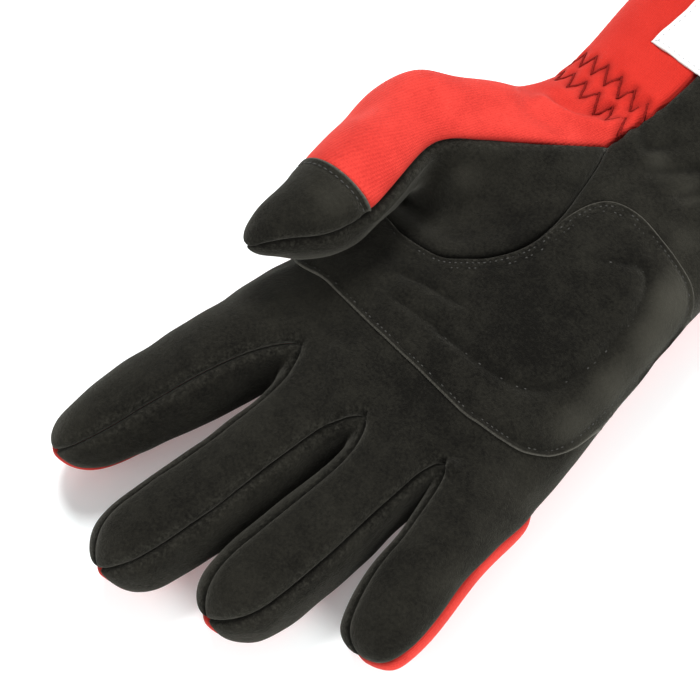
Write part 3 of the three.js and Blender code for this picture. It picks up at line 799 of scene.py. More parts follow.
lift += HEM_THICK * np.clip((P[:, 1] - HEM_AT) / HEM_STEP, 0, 1)
print("deepest groove in mm:", round(float(lift.min()), 2))

# %% [markdown]
# ## Creases and bulges of the leather
# Suede keeps the folds of use. Each crease is a line in row millimetres with a depth and a width, and
# the leather rises a little on both sides of it. Bulges are round: the ball of the thumb, the hollow
# beside the thumb's seam and the small knots where the side strips end. The knit has its own folds.

# %% Crease and bulge tables
SHOULDER = 0.35      # how far the leather rises beside a crease, as a share of its depth
# Shade is painted into each crease:
CREASE_SHADE = 0.6    # how dark the nap is in a crease, from 0 to 1
# depth, width, then the line's points. A depth below zero is a raised fold.
CREASES = [
    (0.75, 1.5, [(-11.5, -15.8, 27.2), (-6.5, -13.8, 27.9), (1.5, -11.8, 28.6), (6.0, -10.1, 28.9)]),
    (0.65, 1.4, [(-6.4, -21.9, 27.1), (-0.6, -20.9, 27.5), (6.9, -19.3, 27.8), (13, -18.2, 28.2)]),
    (-0.60, 1.3, [(-7.1, -43.0, 26.8), (-0.3, -50.4, 27.3), (4.2, -55.8, 26.7), (7.5, -59.6, 25.0)]),
    (0.40, 1.7, [(-0.9, 61.6, 36.0), (2.2, 58.7, 36.0), (4.7, 58.2, 36.1)]),
    (0.40, 1.6, [(5.2, 57.8, 36.0), (8.4, 62.1, 36.7), (8.7, 64.4, 37.1)]),
    (0.60, 1.8, [(10.3, 54.1, 35.5), (13.6, 57.4, 35.6), (16.9, 62.3, 36.1), (18.7, 63.9, 36.2)]),
    (0.45, 1.6, [(21.1, 55.2, 34.5), (22.3, 57.5, 34.6), (23.4, 59.7, 34.7)]),
]
# height, radius, place
BULGES = [
    (2.4, 1.7, (37.7, -41.3, 23.9)), (0.9, 1.5, (13.4, -49.3, 25.9)),
    (0.7, 3.0, (7.5, 56.8, 35.8)), (0.8, 3.0, (19.8, 59.3, 35.2)), (0.7, 3.5, (27.3, 55.9, 33.3)),
    (1.6, 6.5, (-28.7, 6.8, 21.8)), (0.9, 4.5, (-21.6, 13.3, 31.0)),
]
KNIT_FOLDS = [
    (-1.8, 2.8, [(-25.0, 46.6, 33.2), (-22.6, 47.2, 33.5), (-15.6, 50.1, 33.9), (-10.1, 54.4, 34.1),
                 (-6.7, 57.5, 34.6)]),
    (1.2, 2.4, [(-23.0, 52.0, 31.0), (-19.5, 53.0, 32.5), (-13.0, 56.5, 33.5)]),
]
KNIT_BULGES = [
    (1.9, 8.0, (-50.4, 23.4, 39.9)), (1.9, 9.0, (-38.8, 35.5, 36.1)), (-1.5, 6.0, (-52.8, 3.8, 42.5)),
    (0.5, 5.0, (-19.0, 55.4, 32.1)), (2.2, 9.0, (-32.1, 41.5, 33.9)), (1.6, 7.0, (-31.6, 53.1, 27.0)),
]
print("creases:", len(CREASES), "bulges:", len(BULGES))

# %% Press the creases in and the bulges out
def on_skin(line):
    """The line with a point every millimetre, each moved to the nearest place on the skin."""
    line = np.array(line, float)
    lengths = np.concatenate([[0], np.cumsum(np.linalg.norm(np.diff(line, axis=0), axis=1))])
    wanted = np.linspace(0, lengths[-1], max(2, round(lengths[-1])))
    dense = np.column_stack([np.interp(wanted, lengths, line[:, axis]) for axis in range(3)])
    return [tuple(skin_tree.find_nearest(Vector(p))[0]) for p in dense]


def press(places, creases, bulges):
    """How far each place moves out: in along the creases, up beside them, out at the bulges."""
    moved = np.zeros(len(places))
    for depth, width, line in creases:
        d = line_distance(places, on_skin(line))
        moved -= depth * bell(d, width)
        moved += SHOULDER * depth * bell(d - 2.1 * width, 1.1 * width)
    for height, radius, place in bulges:
        d = np.linalg.norm(places - np.array(skin_tree.find_nearest(Vector(place))[0]), axis=1)
        moved += height * bell(d, radius)
    return moved


# Worn cloth is nowhere quite even. Each wave has a height, a size in mm and a seed.
leather_lift = press(P, CREASES, BULGES) + 0.40 * lumps(P, 14, 7) + 0.16 * lumps(P, 5.5, 8)
knit_lift = press(P, KNIT_FOLDS, KNIT_BULGES) + 0.28 * lumps(P, 16, 9)
lift += np.where(is_back, knit_lift, leather_lift)
print("leather lift in mm:", round(float(leather_lift.min()), 2), round(float(leather_lift.max()), 2))

# %% [markdown]
# Broad paler and darker areas are painted into the nap. Some are wear, as on the pads of the fingers.
# Most are painted light and shade: painted highlights where the suede faces the lamps, as on the ball of
# the thumb, the patch's side towards the little finger and the little finger's edge, and painted shade at
# the webs between the fingers and in the middle of the palm.
# They are listed like the bulges: how much paler, the radius and the place.

# %% Painted light and shade on the nap
PAINTED_LIGHT_AND_WORN_NAP = [
    (-0.32, 17, (27.2, 2.2, 28.6)), (-0.15, 12, (28.2, -13.0, 27.6)), (-0.25, 14, (0.4, -42.8, 27.5)),
    (-0.25, 10, (13.2, -30.7, 27.3)), (-0.20, 12, (-10.7, -15.1, 27.4)), (-0.30, 9, (9.7, 3.2, 30.7)),
    (-0.35, 10, (29.0, -36.0, 26.3)), (-0.30, 7, (47.5, -70.0, 22.2)), (-0.25, 11, (-31.5, -86.0, 22.0)),
    (-0.20, 8, (6.8, 19.0, 32.7)), (-0.25, 9, (-3.6, 15.2, 31.1)), (1.10, 8, (40.1, 34.5, 28.1)),
    (0.90, 8, (45.0, 22.2, 25.2)), (0.90, 8, (47.7, 6.5, 23.6)), (0.75, 8, (48.8, -8.9, 22.9)),
    (0.30, 8, (20.2, 44.3, 34.1)), (0.45, 9, (-20.8, 15.8, 33.1)), (0.50, 8, (-33.0, -22.2, 49.2)),
    (0.40, 7, (61.3, -61.9, 20.6)), (0.35, 7, (59.1, -44.7, 18.6)), (0.40, 8, (56.0, -29.4, 18.7)),
    (0.30, 8, (-37.8, -109.4, 20.2)), (0.25, 8, (-1.5, -121.5, 22.7)), (0.25, 8, (29.8, -108.1, 22.1)),
    (0.20, 9, (-29.8, -43.0, 25.7)), (0.30, 7, (15.8, 59.0, 35.7)), (-0.25, 8, (27.2, 29.8, 32.3)),
    (0.55, 4, (9.3, 56.6, 35.7)), (0.50, 4, (22.3, 57.5, 34.6)), (0.45, 6, (31.1, 48.8, 31.8)),
    (-0.40, 9, (-10.5, -60.0, 17.0)), (-0.40, 9, (15.5, -60.0, 17.0)), (-0.40, 8, (39.0, -52.0, 16.0)),
]


# Painted highlights and painted shade, with some worn nap, summed from the table above.
def painted_light_and_worn_nap(places):
    total = np.zeros(len(places))
    for amount, radius, place in PAINTED_LIGHT_AND_WORN_NAP:
        total += amount * bell(np.linalg.norm(places - np.array(place), axis=1), radius)
    return total


def crease_shade(places):
    """How much shade is painted into the creases, from 0 to 1."""
    most = np.zeros(len(places))
    for depth, width, line in CREASES:
        if depth > 0:
            most = np.maximum(most, CREASE_SHADE * bell(line_distance(places, on_skin(line)), 0.8 * width))
    return most


print("brushed places:", len(PAINTED_LIGHT_AND_WORN_NAP))

# %% Move the skin
P = P + N * lift[:, None]
N = normals_of(P, fine_quads)
P[:, 2] = np.maximum(P[:, 2], 0.0)
bpy.data.objects.remove(skin)
skin_tree = tree_of(P, fine_quads)
print("skin is", round(float(P[:, 2].max()), 1), "mm high")

# %% [markdown]
# ## Cut the skin into its panels
# At a seam the two panels are turned in and sewn on the inside, so each rolls over and goes down
# into the seam, and the cloth stands a little fuller just beside it. A panel gets its inner wall and
# its edges here as well, so that it is a closed piece with the thickness of real leather or knit.

# %% Edges and seams of a panel
WALL = 1.6
SEAM_GAP = 0.08
ROLL_DEPTH, ROLL_WIDTH = 1.5, 2.6
PUFF_HEIGHT, PUFF_AT, PUFF_WIDTH = 0.30, 4.0, 2.4
# Painted shade reaches this far from a seam and from the zigzag thread:
SEAM_SHADE = 0.9      # how far from a seam the nap is dark, in mm
THREAD_SHADE = 1.1    # and how far from the zigzag thread
NO_SEAM = 30.0       # a distance that counts as far from every seam


def directed_edges(quads):
    return {(int(q[k]), int(q[(k + 1) % 4])) for q in quads for k in range(4)}


def border(quads):
    """Edges of a panel that no second quad of it shares."""
    edges = directed_edges(quads)
    return [(a, b) for a, b in edges if (b, a) not in edges]


def edges_within(edges, points):
    return [edge for edge in edges if edge[0] in points and edge[1] in points]


mouth_points = {v for edge in border(fine_quads) for v in edge}
lap_points = points_in("thumb_cap") & points_in("back_panel")


def sewn_edges(quads):
    """The panel's border without the stretch round the glove's open mouth."""
    return [edge for edge in border(quads) if not edges_within([edge], mouth_points)]


def distance_to(edges, used):
    far = np.full(len(P), NO_SEAM)
    if not edges:
        return far
    tree = KDTree(2 * len(edges))
    for i, (a, b) in enumerate(edges):
        tree.insert(P[a], 2 * i)
        tree.insert((P[a] + P[b]) / 2, 2 * i + 1)
    tree.balance()
    for v in used:
        far[v] = tree.find(P[v])[2]
    return far

# %% Distances to the seams
def seam_facts(quads):
    """Distances to the panel's turned seams and to the cap's lapped edge, and for each seam point
    the way to the panel's inside."""
    edges = sewn_edges(quads)
    used = np.unique(quads)
    lapped = edges_within(edges, lap_points)
    far = distance_to([edge for edge in edges if edge not in lapped], used)
    lap = distance_to(lapped, used)
    centres = P[quads].mean(axis=1)
    count = np.bincount(quads.ravel(), minlength=len(P))
    total = np.column_stack([np.bincount(quads.ravel(), np.repeat(centres[:, axis], 4), len(P))
                             for axis in range(3)])
    inward = {}
    for v in {v for edge in edges for v in edge}:
        way = total[v] / count[v] - P[v]
        way -= N[v] * (way @ N[v])
        inward[v] = way / max(np.linalg.norm(way), 1e-9)
    return far, lap, inward


print("points round the open mouth:", len(mouth_points))

# %% Shape of a rolled seam and of a lapped edge
LAP_STITCH_AT = 2.1


def rolled(far, lap):
    """A turned seam: a quarter round down into it, and a soft fullness a few mm beside it."""
    share = np.clip(1 - far / ROLL_WIDTH, 0, 1)
    roll = -ROLL_DEPTH * (1 - np.sqrt(1 - share ** 2))
    roll += PUFF_HEIGHT * bell(far - PUFF_AT, PUFF_WIDTH)
    return roll - 0.3 * bell(lap, 1.4)


def lapped_over(far, lap):
    """The cap's cut edge stands up, is drawn in by its stitches and is full behind them."""
    edge = 0.22 * bell(lap, 1.2) - 0.30 * bell(lap - LAP_STITCH_AT, 0.8)
    return rolled(far, np.full(len(far), NO_SEAM)) + edge + 0.20 * bell(lap - 5.0, 2.2)


seam_profile = rolled(np.array([0, ROLL_WIDTH / 2, PUFF_AT]), np.full(3, NO_SEAM))
print("a seam's heights in mm:", seam_profile.round(2))

# %% The keyhole seam has no worn crest
KEYHOLE_CLEAN = 5.0
CUT_EDGE_WIDTH = 0.55
palm_points, front_points = points_in("palm_panel"), points_in("thumb_front")
keyhole_edges = edges_within(border(quads_in("thumb_front")), palm_points & front_points)
keyhole_far = distance_to(keyhole_edges, sorted(palm_points | front_points))
print("keyhole edges:", len(keyhole_edges))

# %% [markdown]
# The ribs of the knit need a number on every point that grows by one for each millimetre across them.
# It is found by least squares: along each edge of the mesh the number should grow as the edge crosses
# the ribs. Conjugate gradients solve that in a few seconds.

# %% Count millimetres across the ribs
def across_ribs(quads, places, normals):
    used, local = np.unique(quads, return_inverse=True)
    local = local.reshape(-1, 4)
    spots, facing = places[used], normals[used]
    ends = np.vstack([local[:, [0, 1]], local[:, [1, 2]], local[:, [2, 3]], local[:, [3, 0]]])
    ways = np.cross((0.0, 1.0, 0.0), facing)
    strength = np.linalg.norm(ways, axis=1)
    ways = ways / np.maximum(strength, 1e-6)[:, None]
    a, b = ends[:, 0], ends[:, 1]
    weight = 0.02 + np.minimum(strength[a], strength[b])
    wanted = ((ways[a] + ways[b]) / 2 * (spots[b] - spots[a])).sum(axis=1)
    count = len(used)

    def balance(value):
        flow = weight * (value[b] - value[a])
        return np.bincount(a, -flow, count) + np.bincount(b, flow, count)

    goal = np.bincount(a, -weight * wanted, count) + np.bincount(b, weight * wanted, count)
    scale = np.bincount(a, weight, count) + np.bincount(b, weight, count)
    value = spots[:, 0].copy()
    left = goal - balance(value)
    step = left / scale
    way, size = step.copy(), left @ step
    for _ in range(700):
        pushed = balance(way)
        share = size / (way @ pushed)
        value += share * way
        left -= share * pushed
        step = left / scale
        size, before = left @ step, size
        way = step + size / before * way
        if size < 1e-6:
            break
    result = np.zeros(len(places))
    result[used] = value
    return result

# %% Finish a piece
def finished(obj, slot, *nodes):
    """A finished piece rides on the glove's one body and stands for its CAD node."""
    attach(obj, "root")
    if nodes:
        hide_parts(*nodes)
    triangles = sum(len(p.vertices) - 2 for p in obj.data.polygons)
    print(obj.name, "has", triangles, "triangles")
    return obj


def mesh_piece(name, places, faces, material, numbers=()):
    """A mesh object from points in mm, with named numbers on its points."""
    mesh = bpy.data.meshes.new(name)
    mesh.from_pydata([tuple(p) for p in np.asarray(places) * MM], [], faces)
    for key, values in dict(numbers).items():
        mesh.attributes.new(key, "FLOAT", "POINT").data.foreach_set("value", np.asarray(values, float))
    mesh.materials.append(material)
    mesh.polygons.foreach_set("use_smooth", [True] * len(mesh.polygons))
    mesh.validate()
    return add_to_scene(bpy.data.objects.new(name, mesh))

# %% Build one panel
def panel_piece(name, material, profile=rolled, ridge=None):
    """One sewn panel: outside from the fine quads, inside from the coarse ones, edges between.
    ridge gives the extra height of each of the panel's outside points."""
    panel = PANELS.index(name)
    quads, inner_quads = fine_quads[fine_panel == panel], coarse_quads[coarse_panel == panel]
    far, lap, inward = seam_facts(quads)
    used = np.unique(quads)
    out_number = {int(v): i for i, v in enumerate(used)}
    height = profile(far[used], lap[used]) + (ridge(used) if ridge else 0)
    outside = P[used] + N[used] * height[:, None]
    for v, way in inward.items():
        outside[out_number[v]] += way * SEAM_GAP / 2
    outside[:, 2] = np.maximum(outside[:, 2], 0.0)
    inner_used = np.unique(inner_quads)
    in_number = {int(v): len(used) + i for i, v in enumerate(inner_used)}
    sunk = np.minimum(profile(far[inner_used], lap[inner_used]), 0) * 0.5
    inside = P[inner_used] + N[inner_used] * (sunk - WALL)[:, None]
    for v in inner_used:
        if int(v) in inward:
            inside[in_number[int(v)] - len(used)] += inward[int(v)] * SEAM_GAP / 2
    inside[:, 2] = np.maximum(inside[:, 2], WALL)
    faces = [tuple(out_number[int(v)] for v in q) for q in quads]
    faces += [tuple(in_number[int(v)] for v in q[::-1]) for q in inner_quads]
    # An edge of the inner wall spans two of the outer wall, which share the point between them.
    fine_next = {}
    for a, b in border(quads):
        fine_next.setdefault(a, []).append(b)
    for a, b in border(inner_quads):
        middle = next(m for m in fine_next[a] if b in fine_next.get(m, []))
        faces.append((out_number[b], out_number[middle], out_number[a], in_number[a], in_number[b]))
    order = np.concatenate([used, inner_used])
    places = np.vstack([outside, inside])
    piece = mesh_piece(name, places, faces, material, {
        "seam_mm": np.where(keyhole_far[order] < KEYHOLE_CLEAN, NO_SEAM, far[order]),
        # painted light and shade, with some worn nap
        "cut_edge": np.clip(1.0 - lap[order] / CUT_EDGE_WIDTH, 0, 1), "painted_light_and_worn_nap": painted_light_and_worn_nap(places),
        # painted shade in the creases, along the seams and beside the zigzag thread
        "painted_shade": np.max([crease_shade(places), 0.9 * bell(far[order], SEAM_SHADE),
                           0.75 * bell(zigzag_near[order], THREAD_SHADE)], axis=0)})
    return piece, order

# %% [markdown]
# The suede panels come first: the palm with the finger fronts, the three side strips between the
# fingers, and the thumb's front, which is set into the palm's keyhole seam.

# %% Suede panels
RIDGE_HEIGHT, RIDGE_AT, RIDGE_WIDTH = 0.9, 2.4, 1.5
SINK_DEPTH, SINK_AT, SINK_WIDTH = 0.45, 7.5, 3.0
RIDGE_FADES_AT, RIDGE_FADES_OVER = 20, 12
front_quads = quads_in("thumb_front")
front_edges = edges_within(border(front_quads), points_in("back_panel"))
red_seam = distance_to(front_edges, np.unique(front_quads))


def thumb_ridge(points):
    """The leather stands up in a roll beside the thumb's red seam, and sinks behind the roll."""
    near_tip = np.clip((RIDGE_FADES_AT - P[points, 1]) / RIDGE_FADES_OVER, 0, 1)
    roll = RIDGE_HEIGHT * bell(red_seam[points] - RIDGE_AT, RIDGE_WIDTH)
    return near_tip * (roll - SINK_DEPTH * bell(red_seam[points] - SINK_AT, SINK_WIDTH))


for name in [name for name in PANELS if name not in ("back_panel", "thumb_cap")]:
    piece, _ = panel_piece(name, black_suede, ridge=thumb_ridge if name == "thumb_front" else None)
    finished(piece, "black_suede", name)

# %% [markdown]
# The thumb's cap is not turned in where it meets the knit: its cut edge lies on top of the knit and
# is stitched down a couple of millimetres from the edge.

# %% Thumb cap
piece, _ = panel_piece("thumb_cap", black_suede, lapped_over)
finished(piece, "black_suede", "thumb_cap")

# %% Knitted back
piece, order = panel_piece("back_panel", red_knit)
ribs = across_ribs(quads_in("back_panel"), P, N)
uv = piece.data.uv_layers.new(name="knit_mm")
corners = np.empty(len(piece.data.loops), int)
piece.data.loops.foreach_get("vertex_index", corners)
from_skin = order[corners]
uv.data.foreach_set("uv", np.column_stack([ribs[from_skin], P[from_skin, 1]]).ravel())
finished(piece, "red_knit", "back_panel")

# %% [markdown]
# ## Pieces that lie on the skin
# The palm's second layer and the label are flat cuts that lie on the skin. Each is drawn as an
# outline from above, filled with small triangles, and laid down on the skin: every point is dropped
# on the surface below it and then lifted along the surface's normal by the layer's thickness there.

# %% Outlines
OUTLINE_STEP = 0.75


def smooth_outline(corners, step):
    """A closed smooth line through the corners, with a point every so many mm."""
    corners = np.array(corners, float)
    count, line = len(corners), []
    for k in range(count):
        a, b, c, d = (corners[(k + j - 1) % count] for j in range(4))
        for t in np.linspace(0, 1, 12)[:-1]:
            line.append(0.5 * (2 * b + (c - a) * t + (2 * a - 5 * b + 4 * c - d) * t * t
                               + (3 * b - a - 3 * c + d) * t ** 3))
    return even_line(np.array(line + line[:1]), step)[:-1]


def even_line(line, step):
    lengths = np.concatenate([[0], np.cumsum(np.linalg.norm(np.diff(line, axis=0), axis=1))])
    count = max(2, round(lengths[-1] / step))
    wanted = np.linspace(0, lengths[-1], count + 1)
    return np.column_stack([np.interp(wanted, lengths, line[:, axis]) for axis in range(line.shape[1])])


def inner_line(outline, inset):
    """The outline moved in by that many mm. Outlines run anticlockwise seen from above."""
    ahead, behind = np.roll(outline, -1, axis=0), np.roll(outline, 1, axis=0)
    way = ahead - behind
    way /= np.linalg.norm(way, axis=1)[:, None]
    return outline + np.column_stack([-way[:, 1], way[:, 0]]) * inset


def inside(outline, places):
    x, y = places[:, 0], places[:, 1]
    odd = np.zeros(len(places), bool)
    for (x0, y0), (x1, y1) in zip(outline, np.roll(outline, -1, axis=0)):
        crosses = (y0 > y) != (y1 > y)
        with np.errstate(divide="ignore", invalid="ignore"):
            odd ^= crosses & (x < (x1 - x0) * (y - y0) / (y1 - y0) + x0)
    return odd

# %% Make a flat cut and drop it on the skin
RIM_INSETS = (0.22, 0.5, 0.9, 1.5, 2.2, 2.9)
ABOVE_ALL, SIDE_LEVEL = 90, 15


def flat_cut(outline, step):
    """Triangles inside the outline, with close lines along its edge, and each point's inset."""
    loops = [outline] + [inner_line(outline, inset) for inset in RIM_INSETS]
    xs = np.arange(outline[:, 0].min(), outline[:, 0].max(), step)
    ys = np.arange(outline[:, 1].min(), outline[:, 1].max(), step * 0.866)
    grid = np.array([(x + (step / 2 if j % 2 else 0), y) for j, y in enumerate(ys) for x in xs])
    closed = np.vstack([outline, outline[:1]])
    grid = grid[inside(outline, grid)]
    grid = grid[line_distance(grid, closed) > RIM_INSETS[-1] + step * 0.6]
    places = np.vstack(loops + [grid])
    count = len(outline)
    edges = [(k, (k + 1) % count) for k in range(count)]
    made = delaunay_2d_cdt([Vector(p) for p in places], edges, [], 1, 1e-6)
    flat = np.array([tuple(v) for v in made[0]])
    return flat, [tuple(f) for f in made[2]], line_distance(flat, closed)


def drop(tree, places):
    """Points and normals of the surface straight below the places."""
    spots, ways = [], []
    for x, y in places:
        hit, normal, _, _ = tree.ray_cast(Vector((x, y, ABOVE_ALL)), Vector((0, 0, -1)))
        if hit is None:
            hit, normal, _, _ = tree.find_nearest(Vector((x, y, SIDE_LEVEL)))
        spots.append(hit)
        ways.append(normal if normal.z > 0 else -normal)
    return np.array(spots), np.array(ways)


def smoothed(tree, places):
    """As drop, with the normals averaged over a millimetre, so that faces don't show through."""
    spots, ways = drop(tree, places)
    for shift in ((1, 0), (-1, 0), (0, 1), (0, -1)):
        ways = ways + drop(tree, places + np.array(shift) * 0.9)[1]
    return spots, ways / np.linalg.norm(ways, axis=1)[:, None]

# %% Build a layer that lies on the skin
def laid_layer(name, outline, step, tree, gap, thickness, material, edge_shows=None, channel=None,
               worn=None):
    """A closed layer on the skin. thickness gives the height at each flat place and inset,
    edge_shows how much of the cut edge shows there, channel how much shade is painted into the
    stitched channels and worn the distance to a worn seam."""
    flat, triangles, inset = flat_cut(outline, step)
    spots, ways = smoothed(tree, flat)
    top = spots + ways * (gap + thickness(flat, inset))[:, None]
    under = spots + ways * gap
    count = len(flat)
    faces = [f if turns_up(flat, f) else f[::-1] for f in triangles]
    known = {(f[k], f[(k + 1) % 3]) for f in faces for k in range(3)}
    rim = [(a, b) for a, b in known if (b, a) not in known]
    faces = faces + [tuple(count + v for v in f[::-1]) for f in faces]
    faces += [(b, a, count + a, count + b) for a, b in rim]
    shows = edge_shows(flat) if edge_shows else np.ones(count)
    return mesh_piece(name, np.vstack([top, under]), faces, material, {
        "seam_mm": np.tile(worn(flat, inset) if worn else inset + NO_SEAM, 2),
        # painted light and shade, with some worn nap
        "painted_light_and_worn_nap": painted_light_and_worn_nap(np.vstack([top, under])),
        # painted shade in the creases and in the stitched channels
        "painted_shade": np.tile(np.maximum(crease_shade(top), channel(flat, inset)) if channel else 0 * inset, 2),
        "cut_edge": np.concatenate([shows * np.clip(1.0 - inset / 0.45, 0, 1), 0.5 * shows])})


def turns_up(flat, face):
    a, b, c = (flat[v] for v in face)
    return (b[0] - a[0]) * (c[1] - a[1]) - (b[1] - a[1]) * (c[0] - a[0]) > 0

# %% [markdown]
# ## Palm patch
# The patch is a cut of the same suede. Its cut edge stands up as a thin pale rim, the stitching pulls
# a shallow channel just inside the edge, there is a second row along the heel of the hand, and a
# quilted line goes round the middle of the palm.

# %% Outline and lines of the patch
PATCH_OUTLINE = [
    (-38, -31.8), (-23.6, -32.1), (-6, -31.8), (10.7, -31), (27.3, -30.1), (34.6, -28.5),
    (40.4, -26.9), (46, -24.4), (50.2, -20.4), (52.2, -16.5), (53.2, -11), (52.7, -3),
    (51.7, 6), (50.4, 15), (49.1, 23), (47.7, 31), (46, 36.2), (43.4, 39.9),
    (39.5, 42), (33, 42.6), (26.7, 42.7), (19.7, 42.6), (13.9, 41.4), (10, 39.2),
    (7.6, 35.6), (6.3, 31), (5.7, 25.3), (5.8, 20.2), (5.3, 14.9), (3.5, 9.8),
    (0.8, 5), (-3.1, 0.5), (-8.7, -4.4), (-15.5, -6.4), (-22, -7.2), (-38, -7.4),
]
QUILTED_LINE = [(20.1, 23.9), (22.6, 26.6), (25.2, 29.2), (27.6, 31.6), (29.8, 32.7), (32.5, 31.8),
                (35.4, 28.7), (37.3, 24.6), (38.7, 19.8), (39.5, 14.5), (40.5, 5.1), (39.5, -3.9),
                (38, -8.6), (33.3, -13.6), (26.4, -16.3), (17.9, -18.2), (8, -20)]
# Two stretches of the outline: along the heel of the hand, and beside the thumb's keyhole seam.
HEEL_ROW = PATCH_OUTLINE[31:20:-2]
KEYHOLE_SIDE = PATCH_OUTLINE[-1:] + PATCH_OUTLINE[33:25:-1]
PATCH_THICK = 1.0
PATCH_GAP = 0.12
THINNER_FROM, THINNER_OVER, THINNER_BY = 43, 6, 0.35     # towards the little finger's side
PADDING, PADDED_FROM, PADDED_OVER = 0.7, 30, 8           # height, x where it begins, how fast
STITCH_INSET, CHANNEL_DEPTH, CHANNEL_WIDTH = 1.4, 0.42, 0.55
SECOND_INSET, SECOND_DEPTH, SECOND_WIDTH, HEEL_WIDTH = 3.1, 0.40, 0.6, 4.5
patch_outline = smooth_outline(PATCH_OUTLINE, OUTLINE_STEP)
quilted = smooth_outline(QUILTED_LINE + QUILTED_LINE[-2:0:-1], 1.0)
quilted = quilted[:len(quilted) // 2 + 1]
palm_quads = quads_in("palm_panel")
palm_quads = palm_quads[N[palm_quads].mean(axis=1)[:, 2] > 0.05]
palm_tree = tree_of(P, palm_quads)
print("palm faces to lie on:", len(palm_quads))

# %% Height, channels and wear of the patch
def near_heel(flat, width):
    return bell(line_distance(flat, HEEL_ROW), width)


def begun(flat):
    """How far the quilting has begun: it fades in over the first stitches."""
    return 1 - 0.8 * bell(np.linalg.norm(flat - np.array(QUILTED_LINE[0]), axis=1), 7.0)


def patch_height(flat, inset):
    """The patch's thickness: a rounded rim, the channels of two stitch rows and of the quilting, and
    padding outside the quilting. At the keyhole seam it goes down flat under the thumb's front."""
    into_seam = bell(line_distance(flat, KEYHOLE_SIDE), 3.5)
    share = np.clip(1 - inset / (0.7 + 1.5 * into_seam), 0, 1)
    thick = PATCH_THICK * (1 - THINNER_BY * np.clip((flat[:, 0] - THINNER_FROM) / THINNER_OVER, 0, 1))
    height = thick * (0.55 - 0.25 * into_seam + (0.45 + 0.25 * into_seam) * np.sqrt(1 - share ** 2))
    height = height - CHANNEL_DEPTH * bell(inset - STITCH_INSET, CHANNEL_WIDTH)
    second = near_heel(flat, HEEL_WIDTH) * bell(inset - SECOND_INSET, SECOND_WIDTH)
    height = height - SECOND_DEPTH * second
    height = height + 0.30 * (1 - bell(np.maximum(inset - 2.4, 0), 3.0))
    quilting = line_distance(flat, quilted)
    outer = np.clip((flat[:, 0] - PADDED_FROM) / PADDED_OVER, 0, 1) * np.clip((inset - 1.5) / 3, 0, 1)
    height = height + PADDING * outer * begun(flat) * (1 - bell(quilting, 3.0))
    groove = 0.62 * bell(quilting, 1.7) + 0.30 * bell(quilting, 0.7)
    return height - groove * begun(flat)


def patch_edge_shows(flat):
    """The pale cut edge shows all round, but not where it goes under the thumb's front."""
    return 1 - bell(line_distance(flat, KEYHOLE_SIDE), 3.0)


def patch_channel_shade(flat, inset):
    """How much shade is painted into the channels of the quilting and of the two stitch rows."""
    quilting = 0.50 * begun(flat) * bell(line_distance(flat, quilted), 1.6)
    first = 0.45 * bell(inset - STITCH_INSET, 0.6)
    second = 0.5 * near_heel(flat, HEEL_WIDTH) * bell(inset - SECOND_INSET, SECOND_WIDTH)
    return np.max([quilting, first, second], axis=0)


def patch_worn(flat, inset):
    """The distance to a worn seam, which is near only along the heel of the hand."""
    return 0.6 * inset + 7 * (1 - near_heel(flat, 5.5))

# %% Palm patch
patch = laid_layer("palm_patch", patch_outline, 0.85, palm_tree, PATCH_GAP, patch_height, black_suede,
                   patch_edge_shows, patch_channel_shade, patch_worn)
finished(patch, "black_suede", "palm_patch")

# %% [markdown]
# ## Cuff label
# The label is a rectangle of white tape sewn round its edge with small grey stitches. The knit under
# it stretches and the tape does not, so its edges ripple a little. It bears nothing.

# %% Label
LABEL_CORNERS = [(-19.8, 82.2), (16.2, 82.2), (16.2, 112.7), (-19.8, 112.7)]
LABEL_THICK, LABEL_GAP, LABEL_STITCH_INSET = 0.45, 0.10, 1.4
EDGE_RIPPLE, EDGE_INSET, FACE_RIPPLE = 0.10, 0.15, 0.25
label_outline = even_line(np.array(LABEL_CORNERS + LABEL_CORNERS[:1], float), OUTLINE_STEP)[:-1]
ripple = EDGE_RIPPLE * (np.sin(label_outline[:, 0] * 0.75 + 1.0) + np.sin(label_outline[:, 1] * 0.9))
inward = inner_line(label_outline, 1.0) - label_outline
label_outline = label_outline + inward * (EDGE_INSET - ripple[:, None])


def label_height(flat, inset):
    wave = FACE_RIPPLE * np.sin(flat[:, 0] * 0.75) * np.sin(flat[:, 1] * 0.62 + 0.5)
    height = LABEL_THICK + 0.35 + wave - 0.28 * bell(inset - LABEL_STITCH_INSET, 0.5)
    return height - 0.25 * np.clip(1 - inset / 0.4, 0, 1)


label = laid_layer("cuff_label", label_outline, 0.9, skin_tree, LABEL_GAP, label_height, white_tape)
finished(label, "white_cloth", "cuff_label")

# %% [markdown]
# ## Stitches
# A stitch is a short piece of thread that bulges out of the cloth and dives in again at both ends. One
# is modelled as a small sphere pulled long, and is then copied along each row, turned to follow it.

# %% One stitch
bpy.ops.object.select_all(action="DESELECT")
bpy.ops.mesh.primitive_uv_sphere_add(segments=8, ring_count=6, radius=0.5)
pattern = bpy.context.object
bpy.ops.object.mode_set(mode="EDIT")
bpy.ops.mesh.select_all(action="SELECT")
bpy.ops.transform.resize(value=(1.0, 0.95, 0.8))
bpy.ops.object.mode_set(mode="OBJECT")
stitch_points = coordinates(pattern.data)
# Blender lists the sphere's faces in an order that changes from run to run, so they are sorted.
stitch_faces = sorted(tuple(p.vertices) for p in pattern.data.polygons)
bpy.data.objects.remove(pattern)
print("faces of a stitch:", len(stitch_faces))


